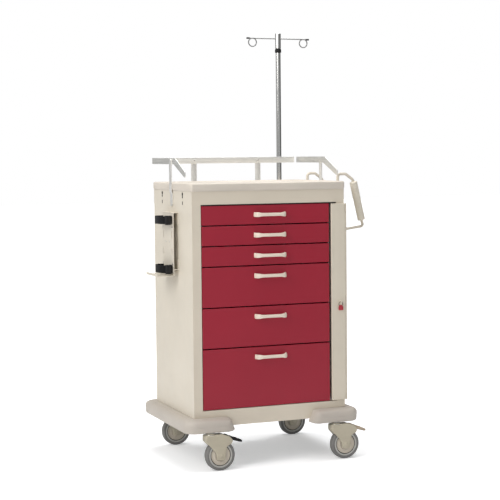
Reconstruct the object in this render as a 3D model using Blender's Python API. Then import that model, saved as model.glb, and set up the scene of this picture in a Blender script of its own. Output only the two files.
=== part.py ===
"""Medical crash cart: steel cabinet with six drawers, caster base, rails, handles and a telescopic pole.

All lengths are in metres.  X runs along the front from left to right, Y runs from front to back
and Z is up.  Every piece is built in cart coordinates, where X = 0 and Y = 0 are the middle of the
cabinet and Z = 0 is the floor.  The root empty then shifts the cart sideways, so that the middle
of its overall width stands on the world origin.
"""
import math

import bpy
import bmesh
from mathutils import Vector

# ---------------------------------------------------------------- driving sizes
CABINET_WIDTH = 0.670
CABINET_DEPTH = 0.490
DRAWER_UNIT = 0.083
DRAWER_UNITS = (1, 1, 1, 2, 2, 3)
TOP_RAIL_HEIGHT = 0.056
BOTTOM_RAIL_HEIGHT = 0.066
STILE_WIDTH = 0.037
COVER_HEIGHT = 0.033
COVER_OVERHANG = 0.004
WHEEL_RADIUS = 0.062
WHEEL_WIDTH = 0.032
POLE_ABOVE_COVER = 0.565

# ---------------------------------------------------------------- clearances
TOUCH = 0.0003
SLIDE_GAP = 0.0005
BORE_GAP = 0.0004
DRAWER_GAP = 0.0045

# ---------------------------------------------------------------- sheet metal
SHEET = 0.002
FRAME_RETURN = 0.018
PANEL_FRONT_RETURN = 0.012
PANEL_REAR_RETURN = 0.020
BACK_FLANGE = 0.012
PAN_SHEET = 0.003
PANEL_HOLE_Y = 0.131
PANEL_HOLES = ((0.012, 0.005), (0.024, 0.003))
PANEL_SLOT_DROP = 0.049
PANEL_SLOT_WIDTH = 0.003
PANEL_SLOT_HEIGHT = 0.012

# ---------------------------------------------------------------- drawers and slides
DRAWER_SIDE_GAP = 0.003
LOCK_SIDE_GAP = 0.031
FRONT_RETURN = 0.018
FRONT_EDGE = 0.0015
TRAY_INSET = 0.005
TRAY_REAR_ROOM = 0.065
TRAY_FLOOR_LIFT = 0.008
TRAY_TOP_DROP = 0.010
TRAY_SHEET = 0.002
RUNNER_WIDTH = 0.006
RUNNER_HEIGHT = 0.012
RUNNER_LIFT = 0.034
RACK_SHEET = 0.003
RACK_SLOT_CLEARANCE = 0.003
RACK_UPRIGHT = 0.020
RACK_END = 0.021
PULL_LENGTH = 0.140
PULL_HEIGHT_END = 0.020
PULL_HEIGHT_MIDDLE = 0.014
PULL_REACH = 0.027
PULL_THICKNESS = 0.007
PULL_MIDDLE = 0.0

# ---------------------------------------------------------------- lock bar
LOCK_BAR_WIDTH = 0.062
LOCK_BAR_RIGHT = 0.001
LOCK_BAR_DEPTH = 0.0084
LOCK_BAR_MARGIN = 0.004
HINGE_OUT = 0.006
HINGE_FORWARD = 0.002
KNUCKLE_RADIUS = 0.0045
HINGE_PIN_RADIUS = 0.0018
KNUCKLE_LENGTH = 0.040
HINGE_LEAF_DEPTH = 0.030
HASP_BELOW_MIDDLE = 0.001
HASP_SIZE = 0.018
HASP_REACH = 0.014
HASP_HOLE_RADIUS = 0.0040

# ---------------------------------------------------------------- base, bumpers, casters
BUMPER_PROUD = 0.050
BUMPER_HEIGHT = 0.056
BUMPER_ABOVE_FORK = 0.006
CABINET_ABOVE_BUMPER_FOOT = 0.018
BUMPER_WALL = 0.005
BUMPER_WRAP = 0.168
BUMPER_END_ROUNDING = 0.034
BUMPER_EDGE = 0.012
CASTER_INSET = 0.057
CASTER_OUTBOARD = 0.031
CASTER_TRAIL = 0.038
OUTRIGGER_WIDTH = 0.080
OUTRIGGER_ABOVE_BUMPER_FOOT = 0.004
STEM_RADIUS = 0.008
BOSS_WALL = 0.0035
FORK_ABOVE_WHEEL = 0.024
FORK_CHEEK = 0.0068
FORK_WHEEL_SIDE_GAP = 0.0012
FORK_WHEEL_TOP_GAP = 0.004
AXLE_RADIUS = 0.005
RACEWAY_RADIUS = 0.022
PEDAL_PIVOT_X = 0.060
PEDAL_PIVOT_DROP = 0.009
PEDAL_PIN_RADIUS = 0.003
PEDAL_SIDE_GAP = 0.0005

# ---------------------------------------------------------------- rails
RAIL_HEIGHT = 0.026
RAIL_THICKNESS = 0.004
RAIL_ABOVE_COVER = 0.076
RAIL_BEND_SHARE = 0.151
RAIL_TIP_SETBACK = 0.067
RAIL_TOP_BEND_LEAD = 0.015
RAIL_LOW_BEND_LAG = 0.002
RAIL_TIP_DROP = 0.056
RAIL_POST_WIDTH = 0.025
RAIL_POST_THICKNESS = 0.0038
RAIL_POST_FOOT_DROP = 0.065
BACK_POST_X = 0.150
BACK_RAIL_END_GAP = 0.010
RAIL_BITE = 0.0005
COVER_CLEARANCE = 0.0007

# ---------------------------------------------------------------- pole
POLE_FROM_SIDE = 0.071
POLE_BEHIND = 0.033
POLE_RADIUS = 0.011
POLE_WALL = 0.0015
POLE_LENGTH = 1.162
POLE_CLAMP_WALL = 0.004
ROD_RADIUS = 0.008
ROD_FOOT_GAP = 0.040
COLLAR_RADIUS = 0.014
COLLAR_HEIGHT = 0.018
HEAD_RADIUS = 0.0125
HEAD_HEIGHT = 0.068
HEAD_SOCKET = 0.022
HOOK_WIRE_RADIUS = 0.0024
HOOK_RING_RADIUS = 0.018
HOOK_RING_X = 0.124
HOOK_TIP_X = 0.154
HOOK_ABOVE_COLLAR = 0.044
HOOK_OFFSET = 0.0065

# ---------------------------------------------------------------- push handles
HANDLE_Y = 0.157
HANDLE_ROD_RADIUS = 0.006
HANDLE_FLANGE_RADIUS = 0.012
HANDLE_FLANGE_THICKNESS = 0.003
HANDLE_FOOT_OUT = 0.014
HANDLE_REACH = 0.1335
HANDLE_CREST = 0.028
HANDLE_CREST_LENGTH = 0.036
HANDLE_CORNER_DROP = 0.195
HANDLE_ARM_DROP = 0.210
HANDLE_ARM_LEVEL_END = 0.012
GRIP_RADIUS = 0.0165
GRIP_LENGTH = 0.168
GRIP_BEND_ROOM = 0.018

# ---------------------------------------------------------------- oxygen tank bracket
BRACKET_HALF_WIDTH = 0.075
BRACKET_STAND_OFF = 0.022
BRACKET_DROP = 0.350
SHELF_REACH = 0.093
STRAP_WIDTH = 0.032
STRAP_THICKNESS = 0.003
STRAP_BULGE = 0.050
STRAP_SPAN = 0.058

# ---------------------------------------------------------------- derived positions
FORK_TOP = 2.0 * WHEEL_RADIUS + FORK_ABOVE_WHEEL
BUMPER_BOTTOM = FORK_TOP + BUMPER_ABOVE_FORK
BUMPER_TOP = BUMPER_BOTTOM + BUMPER_HEIGHT
OUTRIGGER_BOTTOM = BUMPER_BOTTOM + OUTRIGGER_ABOVE_BUMPER_FOOT
CABINET_BOTTOM = BUMPER_BOTTOM + CABINET_ABOVE_BUMPER_FOOT
OPENING_BOTTOM = CABINET_BOTTOM + BOTTOM_RAIL_HEIGHT
OPENING_TOP = OPENING_BOTTOM + DRAWER_UNIT * sum(DRAWER_UNITS)
CABINET_TOP = OPENING_TOP + TOP_RAIL_HEIGHT
COVER_TOP = CABINET_TOP + COVER_HEIGHT
SIDE = CABINET_WIDTH / 2.0
FRONT = -CABINET_DEPTH / 2.0
REAR = CABINET_DEPTH / 2.0
OPENING_SIDE = SIDE - STILE_WIDTH
FRONT_LEFT = -OPENING_SIDE + DRAWER_SIDE_GAP
FRONT_RIGHT = OPENING_SIDE - LOCK_SIDE_GAP
DRAWER_MIDDLE = (FRONT_LEFT + FRONT_RIGHT) / 2.0
TRAY_LEFT = FRONT_LEFT + TRAY_INSET
TRAY_RIGHT = FRONT_RIGHT - TRAY_INSET
TRAY_FRONT = FRONT + FRONT_RETURN + TOUCH
TRAY_DEPTH = CABINET_DEPTH - TRAY_REAR_ROOM
CASTER_X = SIDE - CASTER_INSET
CASTER_Y = REAR + CASTER_OUTBOARD
BOSS_HALF = STEM_RADIUS + BOSS_WALL
FORK_HALF_WIDTH = WHEEL_WIDTH / 2.0 + FORK_WHEEL_SIDE_GAP + FORK_CHEEK
PEDAL_PIVOT_Z = FORK_TOP - PEDAL_PIVOT_DROP
PEDAL_HALF_WIDTH = WHEEL_WIDTH / 2.0 - PEDAL_SIDE_GAP
RAIL_TOP = COVER_TOP + RAIL_ABOVE_COVER + RAIL_HEIGHT
RAIL_OUT = SIDE + COVER_OVERHANG + COVER_CLEARANCE
RAIL_BEND_Y = FRONT * RAIL_BEND_SHARE
RAIL_TIP_Y = FRONT + RAIL_TIP_SETBACK
BACK_RAIL_HALF = SIDE - BACK_RAIL_END_GAP
POLE_X = SIDE - POLE_FROM_SIDE
POLE_TOP = COVER_TOP + POLE_ABOVE_COVER
POLE_BOTTOM = POLE_TOP - POLE_LENGTH
ROD_BOTTOM = POLE_BOTTOM + ROD_FOOT_GAP
POLE_Y = REAR + POLE_BEHIND
HINGE_X = SIDE + HINGE_OUT
HINGE_Y = FRONT - HINGE_FORWARD
LOCK_BAR_BOTTOM = OPENING_BOTTOM + LOCK_BAR_MARGIN
LOCK_BAR_TOP = OPENING_TOP - LOCK_BAR_MARGIN
HASP_HEIGHT = (OPENING_BOTTOM + OPENING_TOP) / 2.0 - HASP_BELOW_MIDDLE
BRACKET_BOTTOM = CABINET_TOP - BRACKET_DROP
LEFT_REACH = SIDE + SHELF_REACH
RIGHT_REACH = SIDE + HANDLE_REACH + HANDLE_ROD_RADIUS
CART_SHIFT = (LEFT_REACH - RIGHT_REACH) / 2.0

# ---------------------------------------------------------------- colours (linear) and finishes
PAINT_LIGHT = ((0.76, 0.70, 0.62), 0.45, 0.0)
PAINT_RED = ((0.28, 0.022, 0.035), 0.40, 0.0)
PLASTIC_TAUPE = ((0.46, 0.41, 0.36), 0.55, 0.0)
PLASTIC_CREAM = ((0.62, 0.53, 0.45), 0.45, 0.0)
PLASTIC_BLACK = ((0.02, 0.02, 0.022), 0.55, 0.0)
SEAL_RED = ((0.50, 0.03, 0.03), 0.40, 0.0)
STEEL_BRIGHT = ((0.72, 0.72, 0.71), 0.25, 1.0)
STEEL_ZINC = ((0.45, 0.45, 0.44), 0.45, 1.0)
PAINT_TAUPE = ((0.42, 0.37, 0.29), 0.50, 0.0)
WHEEL_GREY = ((0.22, 0.21, 0.20), 0.60, 0.0)


# ---------------------------------------------------------------- mesh helpers
def loft(rings, closed=False):
    """Skin rings of equal length into one solid; closed joins the last ring to the first."""
    count = len(rings[0])
    points = [point for ring in rings for point in ring]
    faces = []
    spans = len(rings) if closed else len(rings) - 1
    for index in range(spans):
        start = index * count
        following = ((index + 1) % len(rings)) * count
        for corner in range(count):
            beside = (corner + 1) % count
            faces.append((start + corner, start + beside, following + beside, following + corner))
    if not closed:
        faces.append(tuple(reversed(range(count))))
        faces.append(tuple(range((len(rings) - 1) * count, len(rings) * count)))
    return points, faces


def prism(outline, axis, low, high):
    """Extrude a flat outline along X, Y or Z between two positions."""
    def place(pair, height):
        first, second = pair
        if axis == "X":
            return (height, first, second)
        if axis == "Y":
            return (first, height, second)
        return (first, second, height)
    return loft([[place(pair, height) for pair in outline] for height in (low, high)])


def box(low, high):
    """A plain block between two opposite corners."""
    outline = [(low[0], low[1]), (high[0], low[1]), (high[0], high[1]), (low[0], high[1])]
    return prism(outline, "Z", low[2], high[2])


def circle(centre, direction, radius, sides, phase=0.0):
    """Points of a regular polygon around a centre, facing along a direction."""
    axis = Vector(direction).normalized()
    helper = Vector((0.0, 0.0, 1.0)) if abs(axis.z) < 0.9 else Vector((1.0, 0.0, 0.0))
    first = axis.cross(helper).normalized()
    second = axis.cross(first).normalized()
    ring = []
    for index in range(sides):
        angle = phase + 2.0 * math.pi * index / sides
        ring.append(tuple(Vector(centre) + radius * (math.cos(angle) * first + math.sin(angle) * second)))
    return ring


def turned(origin, direction, profile, sides, bored=False, phase=0.0):
    """Solid of revolution from (distance, radius) pairs; bored closes the profile into a ring."""
    axis = Vector(direction).normalized()
    start = Vector(origin)
    rings = [circle(start + axis * along, axis, radius, sides, phase) for along, radius in profile]
    return loft(rings, closed=bored)


def cylinder(start, end, radius, sides, phase=0.0):
    """A plain round bar between two points."""
    span = Vector(end) - Vector(start)
    return turned(start, span, [(0.0, radius), (span.length, radius)], sides, phase=phase)


def rounded_path(corners, radii, steps):
    """Replace the inner corners of a polyline by arcs of the given radii."""
    points = [Vector(corners[0])]
    for index in range(1, len(corners) - 1):
        here = Vector(corners[index])
        before = (Vector(corners[index - 1]) - here).normalized()
        after = (Vector(corners[index + 1]) - here).normalized()
        half = before.angle(after) / 2.0
        radius = radii[index - 1]
        setback = radius / math.tan(half)
        middle = (before + after).normalized() * (radius / math.sin(half)) + here
        begin = here + before * setback - middle
        finish = here + after * setback - middle
        for step in range(steps + 1):
            points.append(middle + radius * begin.slerp(finish, step / steps).normalized())
    points.append(Vector(corners[-1]))
    return points


def swept_bar(points, radius, sides):
    """Sweep a round section along a path without twisting it."""
    rings = []
    normal = None
    for index, point in enumerate(points):
        before = points[max(index - 1, 0)]
        after = points[min(index + 1, len(points) - 1)]
        tangent = (Vector(after) - Vector(before)).normalized()
        if normal is None:
            helper = Vector((0.0, 1.0, 0.0)) if abs(tangent.y) < 0.9 else Vector((1.0, 0.0, 0.0))
            normal = tangent.cross(helper).normalized()
        normal = (normal - tangent * normal.dot(tangent)).normalized()
        binormal = tangent.cross(normal)
        ring = []
        for corner in range(sides):
            angle = 2.0 * math.pi * corner / sides
            offset = math.cos(angle) * normal + math.sin(angle) * binormal
            ring.append(tuple(Vector(point) + radius * offset))
        rings.append(ring)
    return loft(rings)


def rounded_rectangle(half_x, half_y, radius, height, steps=4):
    """Points of a rectangle with rounded corners, centred on the cabinet."""
    ring = []
    quarters = ((1, 1, 0.0), (-1, 1, 90.0), (-1, -1, 180.0), (1, -1, 270.0))
    for sign_x, sign_y, start in quarters:
        for step in range(steps + 1):
            angle = math.radians(start + 90.0 * step / steps)
            x = sign_x * (half_x - radius) + radius * math.cos(angle)
            y = sign_y * (half_y - radius) + radius * math.sin(angle)
            ring.append((x, y, height))
    return ring


# ---------------------------------------------------------------- scene helpers
def clear_scene():
    """Remove everything the starting file holds."""
    for item in list(bpy.data.objects):
        bpy.data.objects.remove(item)


def make_object(name, solid, pivot=(0.0, 0.0, 0.0), smooth=False):
    """Turn points and faces into an object whose origin is the pivot."""
    points, faces = solid
    mesh = bpy.data.meshes.new(name)
    work = bmesh.new()
    corners = [work.verts.new(Vector(point) - Vector(pivot)) for point in points]
    for face in faces:
        work.faces.new([corners[index] for index in face])
    bmesh.ops.recalc_face_normals(work, faces=work.faces)
    if work.calc_volume(signed=True) < 0.0:
        bmesh.ops.reverse_faces(work, faces=work.faces)
    work.to_mesh(mesh)
    work.free()
    for polygon in mesh.polygons:
        polygon.use_smooth = smooth
    item = bpy.data.objects.new(name, mesh)
    item.location = pivot
    bpy.context.scene.collection.objects.link(item)
    return item


def combine(item, solids, operation):
    """Join solids to an object, or cut them away, and keep the result as its mesh."""
    tools = []
    for index, solid in enumerate(solids):
        tool = make_object(item.name + "_tool", solid)
        tool.hide_render = True
        modifier = item.modifiers.new("tool_" + str(index), "BOOLEAN")
        modifier.object = tool
        modifier.operation = operation
        modifier.solver = "EXACT"
        tools.append(tool)
    bpy.context.view_layer.update()
    settled = item.evaluated_get(bpy.context.evaluated_depsgraph_get())
    result = bpy.data.meshes.new_from_object(settled)
    item.modifiers.clear()
    item.data = result
    for tool in tools:
        bpy.data.objects.remove(tool)
    return item


def bevelled(item, width, segments=2, angle=40.0):
    """Round the sharp edges of an object and keep the result as its mesh."""
    modifier = item.modifiers.new("edges", "BEVEL")
    modifier.width = width
    modifier.segments = segments
    modifier.limit_method = "ANGLE"
    modifier.angle_limit = math.radians(angle)
    bpy.context.view_layer.update()
    settled = item.evaluated_get(bpy.context.evaluated_depsgraph_get())
    result = bpy.data.meshes.new_from_object(settled)
    item.modifiers.clear()
    item.data = result
    return item


def copy_of(item, name, location):
    """A second object that shares the mesh of the first."""
    twin = bpy.data.objects.new(name, item.data)
    twin.location = location
    bpy.context.scene.collection.objects.link(twin)
    return twin


def paint(item, finish):
    """Give an object its own plain material."""
    colour, roughness, metallic = finish
    material = bpy.data.materials.new(item.name + "_finish")
    material.use_nodes = True
    shader = material.node_tree.nodes["Principled BSDF"]
    shader.inputs["Base Color"].default_value = (colour[0], colour[1], colour[2], 1.0)
    shader.inputs["Roughness"].default_value = roughness
    shader.inputs["Metallic"].default_value = metallic
    if not item.data.materials:
        item.data.materials.append(material)
    item.material_slots[0].link = "OBJECT"
    item.material_slots[0].material = material
    return item


def attach(item, parent):
    """Parent an object without moving it away from its cart position."""
    item.parent = parent
    return item


# ---------------------------------------------------------------- cabinet
def side_panel(name, side):
    """Side skin with a front return behind the frame, a rear return and spare fixing holes."""
    front = FRONT + SHEET + TOUCH
    outer = side * SIDE
    inner = side * (SIDE - SHEET)
    outline = [
        (outer, front),
        (side * (SIDE - PANEL_FRONT_RETURN), front),
        (side * (SIDE - PANEL_FRONT_RETURN), front + SHEET),
        (inner, front + SHEET),
        (inner, REAR - SHEET),
        (side * (SIDE - PANEL_REAR_RETURN), REAR - SHEET),
        (side * (SIDE - PANEL_REAR_RETURN), REAR),
        (outer, REAR),
    ]
    panel = make_object(name, prism(outline, "Z", CABINET_BOTTOM, CABINET_TOP))
    near, far = sorted((inner - side * SHEET, outer + side * SHEET))
    cuts = []
    for y in (-PANEL_HOLE_Y, PANEL_HOLE_Y):
        for drop, radius in PANEL_HOLES:
            cuts.append(cylinder((near, y, CABINET_TOP - drop), (far, y, CABINET_TOP - drop), radius, 16,
                                 math.pi / 16.0))
        middle = CABINET_TOP - PANEL_SLOT_DROP
        cuts.append(box((near, y - PANEL_SLOT_WIDTH / 2.0, middle - PANEL_SLOT_HEIGHT / 2.0),
                        (far, y + PANEL_SLOT_WIDTH / 2.0, middle + PANEL_SLOT_HEIGHT / 2.0)))
    combine(panel, cuts, "DIFFERENCE")
    return paint(panel, PAINT_LIGHT)


def front_frame():
    """Face frame around the drawers with a return behind the inner edge."""
    outer_low, outer_high = CABINET_BOTTOM, CABINET_TOP
    inner_low, inner_high = OPENING_BOTTOM, OPENING_TOP

    def ring_point(corner, inner, grow, y):
        side, level = corner
        half = (OPENING_SIDE if inner else SIDE) + grow
        low = (inner_low if inner else outer_low) - grow
        high = (inner_high if inner else outer_high) + grow
        return (side * half, y, low if level < 0 else high)

    rings = []
    for corner in ((-1, -1), (1, -1), (1, 1), (-1, 1)):
        rings.append([
            ring_point(corner, False, 0.0, FRONT),
            ring_point(corner, True, 0.0, FRONT),
            ring_point(corner, True, 0.0, FRONT + FRAME_RETURN),
            ring_point(corner, True, SHEET, FRONT + FRAME_RETURN),
            ring_point(corner, True, SHEET, FRONT + SHEET),
            ring_point(corner, False, 0.0, FRONT + SHEET),
        ])
    frame = make_object("front_frame", loft(rings, closed=True))
    return paint(frame, PAINT_LIGHT)


def back_panel():
    """Rear skin set between the side returns, with a flange at the top and the bottom."""
    rear = REAR - SHEET - TOUCH
    low = CABINET_BOTTOM + PAN_SHEET + TOUCH
    high = CABINET_TOP
    outline = [
        (rear, low),
        (rear, high),
        (rear - BACK_FLANGE, high),
        (rear - BACK_FLANGE, high - SHEET),
        (rear - SHEET, high - SHEET),
        (rear - SHEET, low + SHEET),
        (rear - BACK_FLANGE, low + SHEET),
        (rear - BACK_FLANGE, low),
    ]
    half = SIDE - SHEET - TOUCH
    panel = make_object("back_panel", prism(outline, "X", -half, half))
    return paint(panel, PAINT_LIGHT)


def base_pan():
    """Cabinet floor with two outrigger beams that carry the caster stems."""
    half_x = SIDE - SHEET - TOUCH
    front = FRONT + 2.0 * SHEET + 2.0 * TOUCH
    rear = REAR - 2.0 * SHEET - 2.0 * TOUCH
    low = CABINET_BOTTOM - 0.001
    floor = make_object("base_pan", box((-half_x, front, low), (half_x, rear, CABINET_BOTTOM + SHEET)))
    beams = []
    reach = CASTER_Y + BOSS_HALF
    top = CABINET_BOTTOM - TOUCH
    for side in (-1, 1):
        middle = side * CASTER_X
        half = OUTRIGGER_WIDTH / 2.0
        beams.append(box((middle - half, -reach, OUTRIGGER_BOTTOM), (middle + half, reach, top)))
        for end in (-1, 1):
            centre_y = end * CASTER_Y
            boss_low = BUMPER_BOTTOM - TOUCH
            beams.append(box(
                (middle - BOSS_HALF, centre_y - BOSS_HALF, boss_low),
                (middle + BOSS_HALF, centre_y + BOSS_HALF * 0.96, OUTRIGGER_BOTTOM + 0.004)))
    combine(floor, beams, "UNION")
    bores = []
    for side in (-1, 1):
        for end in (-1, 1):
            foot = (side * CASTER_X, end * CASTER_Y, BUMPER_BOTTOM - 0.01)
            head = (side * CASTER_X, end * CASTER_Y, CABINET_BOTTOM + 0.02)
            bores.append(cylinder(foot, head, STEM_RADIUS + BORE_GAP, 24))
    combine(floor, bores, "DIFFERENCE")
    return paint(floor, STEEL_ZINC)


def top_cover():
    """Moulded top with a raised rim around a sunken work surface."""
    half_x = SIDE + COVER_OVERHANG
    half_y = REAR + COVER_OVERHANG
    low = CABINET_TOP + TOUCH
    edge = 0.006
    wall = 0.005
    rim = 0.016
    sink = 0.006
    corner = 0.010
    rings = [
        rounded_rectangle(half_x, half_y, corner, low),
        rounded_rectangle(half_x, half_y, corner, COVER_TOP - edge),
        rounded_rectangle(half_x - 0.3 * edge, half_y - 0.3 * edge, corner, COVER_TOP - 0.3 * edge),
        rounded_rectangle(half_x - edge, half_y - edge, corner, COVER_TOP),
        rounded_rectangle(half_x - rim, half_y - rim, corner, COVER_TOP),
        rounded_rectangle(half_x - rim - sink, half_y - rim - sink, corner, COVER_TOP - sink),
    ]
    under = [
        rounded_rectangle(half_x - wall, half_y - wall, corner - wall, low),
        rounded_rectangle(half_x - wall, half_y - wall, corner - wall, COVER_TOP - sink - wall),
    ]
    cover = make_object("top_cover", loft(list(reversed(under)) + rings))
    return paint(cover, PLASTIC_CREAM)


# ---------------------------------------------------------------- bumpers
def bumper_section(low, high, depth, edge, back):
    """Section of the bumper as (outward distance, height) pairs."""
    section = [(back, low), (back, high), (depth - edge, high)]
    for step in (1, 2):
        angle = math.radians(90.0 - 30.0 * step)
        section.append((depth - edge + edge * math.cos(angle), high - edge + edge * math.sin(angle)))
    section.append((depth, high - edge))
    section.append((depth, low + edge))
    for step in (1, 2):
        angle = math.radians(-30.0 * step)
        section.append((depth - edge + edge * math.cos(angle), low + edge + edge * math.sin(angle)))
    section.append((depth - edge, low))
    return section


def bumper_sweep(side, section, wrap, rounding):
    """Sweep a section around the front corner, the side and the rear corner of the cabinet."""
    rings = []

    def ring_at(origin, outward, scale):
        ring = []
        for distance, height in section:
            reach = distance if distance <= TOUCH else max(distance * scale, TOUCH / 3.0)
            ring.append((origin[0] + outward[0] * reach, origin[1] + outward[1] * reach, height))
        return ring

    ends = [(0.0, 0.40), (0.09, 0.62), (0.25, 0.80), (0.55, 0.94), (1.0, 1.0)]
    if rounding <= 0.0:
        ends = [(0.0, 1.0)]
    for along, scale in ends:
        x = side * (SIDE - wrap + along * rounding)
        rings.append(ring_at((x, FRONT), (0.0, -1.0), scale))
    for corner_y, sweep in ((FRONT, (-90.0, 0.0)), (REAR, (0.0, 90.0))):
        for step in range(7):
            angle = math.radians(sweep[0] + (sweep[1] - sweep[0]) * step / 6.0)
            rings.append(ring_at((side * SIDE, corner_y), (side * math.cos(angle), math.sin(angle)), 1.0))
    for along, scale in reversed(ends):
        x = side * (SIDE - wrap + along * rounding)
        rings.append(ring_at((x, REAR), (0.0, 1.0), scale))
    return loft(rings)


def bumper(name, side):
    """Hollow corner-to-corner bumper, open underneath and towards the cabinet."""
    outside = bumper_section(BUMPER_BOTTOM, BUMPER_TOP, BUMPER_PROUD, BUMPER_EDGE, TOUCH)
    inside = bumper_section(
        BUMPER_BOTTOM - 0.02, BUMPER_TOP - BUMPER_WALL, BUMPER_PROUD - BUMPER_WALL, 0.007, TOUCH / 3.0)
    shell = make_object(name, bumper_sweep(side, outside, BUMPER_WRAP, BUMPER_END_ROUNDING))
    hollow = bumper_sweep(side, inside, BUMPER_WRAP - 0.020, 0.0)
    combine(shell, [hollow], "DIFFERENCE")
    for polygon in shell.data.polygons:
        polygon.use_smooth = False
    return paint(shell, PLASTIC_TAUPE)


# ---------------------------------------------------------------- drawers
def drawer_levels():
    """Bottom and top of each drawer cell, from the top drawer down."""
    levels = []
    top = OPENING_TOP
    for units in DRAWER_UNITS:
        bottom = top - units * DRAWER_UNIT
        levels.append((bottom, top))
        top = bottom
    return levels


def drawer_front(name, units, pivot):
    """Folded drawer face: a shallow pan open at the back."""
    half_x = (FRONT_RIGHT - FRONT_LEFT) / 2.0
    height = units * DRAWER_UNIT - DRAWER_GAP
    low = pivot[2] + DRAWER_GAP / 2.0

    def ring(inset, y):
        left = DRAWER_MIDDLE - half_x + inset
        right = DRAWER_MIDDLE + half_x - inset
        bottom = low + inset
        top = low + height - inset
        return [(left, y, bottom), (right, y, bottom), (right, y, top), (left, y, top)]

    rings = [
        ring(FRONT_EDGE, FRONT),
        ring(0.0, FRONT + FRONT_EDGE),
        ring(0.0, FRONT + FRONT_RETURN),
        ring(SHEET, FRONT + FRONT_RETURN),
        ring(SHEET, FRONT + FRONT_EDGE + SHEET),
    ]
    return paint(make_object(name, loft(rings), pivot), PAINT_RED)


def tray_heights(units):
    """Floor and rim of a tray measured from the bottom of its cell."""
    return TRAY_FLOOR_LIFT, units * DRAWER_UNIT - TRAY_TOP_DROP


def drawer_tray(name, units, pivot):
    """Open-topped steel tray with a runner bar along each side."""
    lift, rim = tray_heights(units)
    low = pivot[2] + lift
    high = pivot[2] + rim
    rear = TRAY_FRONT + TRAY_DEPTH

    def ring(inset, z):
        return [
            (TRAY_LEFT + inset, TRAY_FRONT + inset, z),
            (TRAY_RIGHT - inset, TRAY_FRONT + inset, z),
            (TRAY_RIGHT - inset, rear - inset, z),
            (TRAY_LEFT + inset, rear - inset, z),
        ]

    rings = [ring(0.0, low), ring(0.0, high), ring(TRAY_SHEET, high), ring(TRAY_SHEET, low + TRAY_SHEET)]
    tray = make_object(name, loft(rings), pivot)
    runner_low = pivot[2] + RUNNER_LIFT
    bite = TRAY_SHEET / 2.0
    runners = [
        box((TRAY_LEFT - RUNNER_WIDTH, TRAY_FRONT + bite, runner_low),
            (TRAY_LEFT + bite, rear - bite, runner_low + RUNNER_HEIGHT)),
        box((TRAY_RIGHT - bite, TRAY_FRONT + bite, runner_low),
            (TRAY_RIGHT + RUNNER_WIDTH, rear - bite, runner_low + RUNNER_HEIGHT)),
    ]
    combine(tray, runners, "UNION")
    return paint(tray, STEEL_ZINC)


def drawer_pull(name, pivot, middle_z):
    """Bowed bar pull, tallest at its two feet and slimmest in the middle."""
    half = PULL_LENGTH / 2.0
    stations = []
    for share, out, stretch in (
            (-1.0, 0.0, 1.0), (-0.99, 0.45, 1.0), (-0.90, 0.78, 0.96), (-0.70, 0.93, 0.88),
            (-0.35, 1.0, 0.74), (0.0, 1.0, 0.70)):
        height = PULL_HEIGHT_END * max(stretch, PULL_HEIGHT_MIDDLE / PULL_HEIGHT_END)
        stations.append((share * (half - PULL_THICKNESS / 2.0), out * (PULL_REACH - PULL_THICKNESS / 2.0), height))
    stations += [(-x, out, height) for x, out, height in reversed(stations[:-1])]
    rings = []
    for index, (x, out, height) in enumerate(stations):
        before = stations[max(index - 1, 0)]
        after = stations[min(index + 1, len(stations) - 1)]
        tangent = Vector((after[0] - before[0], after[1] - before[1], 0.0))
        if index in (0, len(stations) - 1):
            tangent = Vector((0.0, 1.0 if index == 0 else -1.0, 0.0))
        tangent.normalize()
        across = Vector((tangent.y, -tangent.x, 0.0)) * (PULL_THICKNESS / 2.0)
        ring = []
        for side, level in ((1.0, -0.6), (0.5, -1.0), (-0.5, -1.0), (-1.0, -0.6),
                            (-1.0, 0.6), (-0.5, 1.0), (0.5, 1.0), (1.0, 0.6)):
            ring.append((
                PULL_MIDDLE + x + across.x * side,
                FRONT - TOUCH - (out + across.y * side),
                middle_z + level * height / 2.0))
        rings.append(ring)
    return paint(make_object(name, loft(rings), pivot), PLASTIC_CREAM)


def build_drawers():
    """All six drawers, each as a face, a tray and a pull on one slide position."""
    pieces = []
    meshes = {}
    for number, (units, (bottom, top)) in enumerate(zip(DRAWER_UNITS, drawer_levels()), start=1):
        label = "drawer_" + str(number)
        pivot = (DRAWER_MIDDLE, FRONT, bottom)
        if units not in meshes:
            face = drawer_front(label + "_front", units, pivot)
            tray = drawer_tray(label + "_tray", units, pivot)
            meshes[units] = (face, tray)
        else:
            face = paint(copy_of(meshes[units][0], label + "_front", pivot), PAINT_RED)
            tray = paint(copy_of(meshes[units][1], label + "_tray", pivot), STEEL_ZINC)
        pull = drawer_pull(label + "_pull", pivot, top - DRAWER_UNIT / 2.0)
        pieces += [face, tray, pull]
    return pieces


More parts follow.
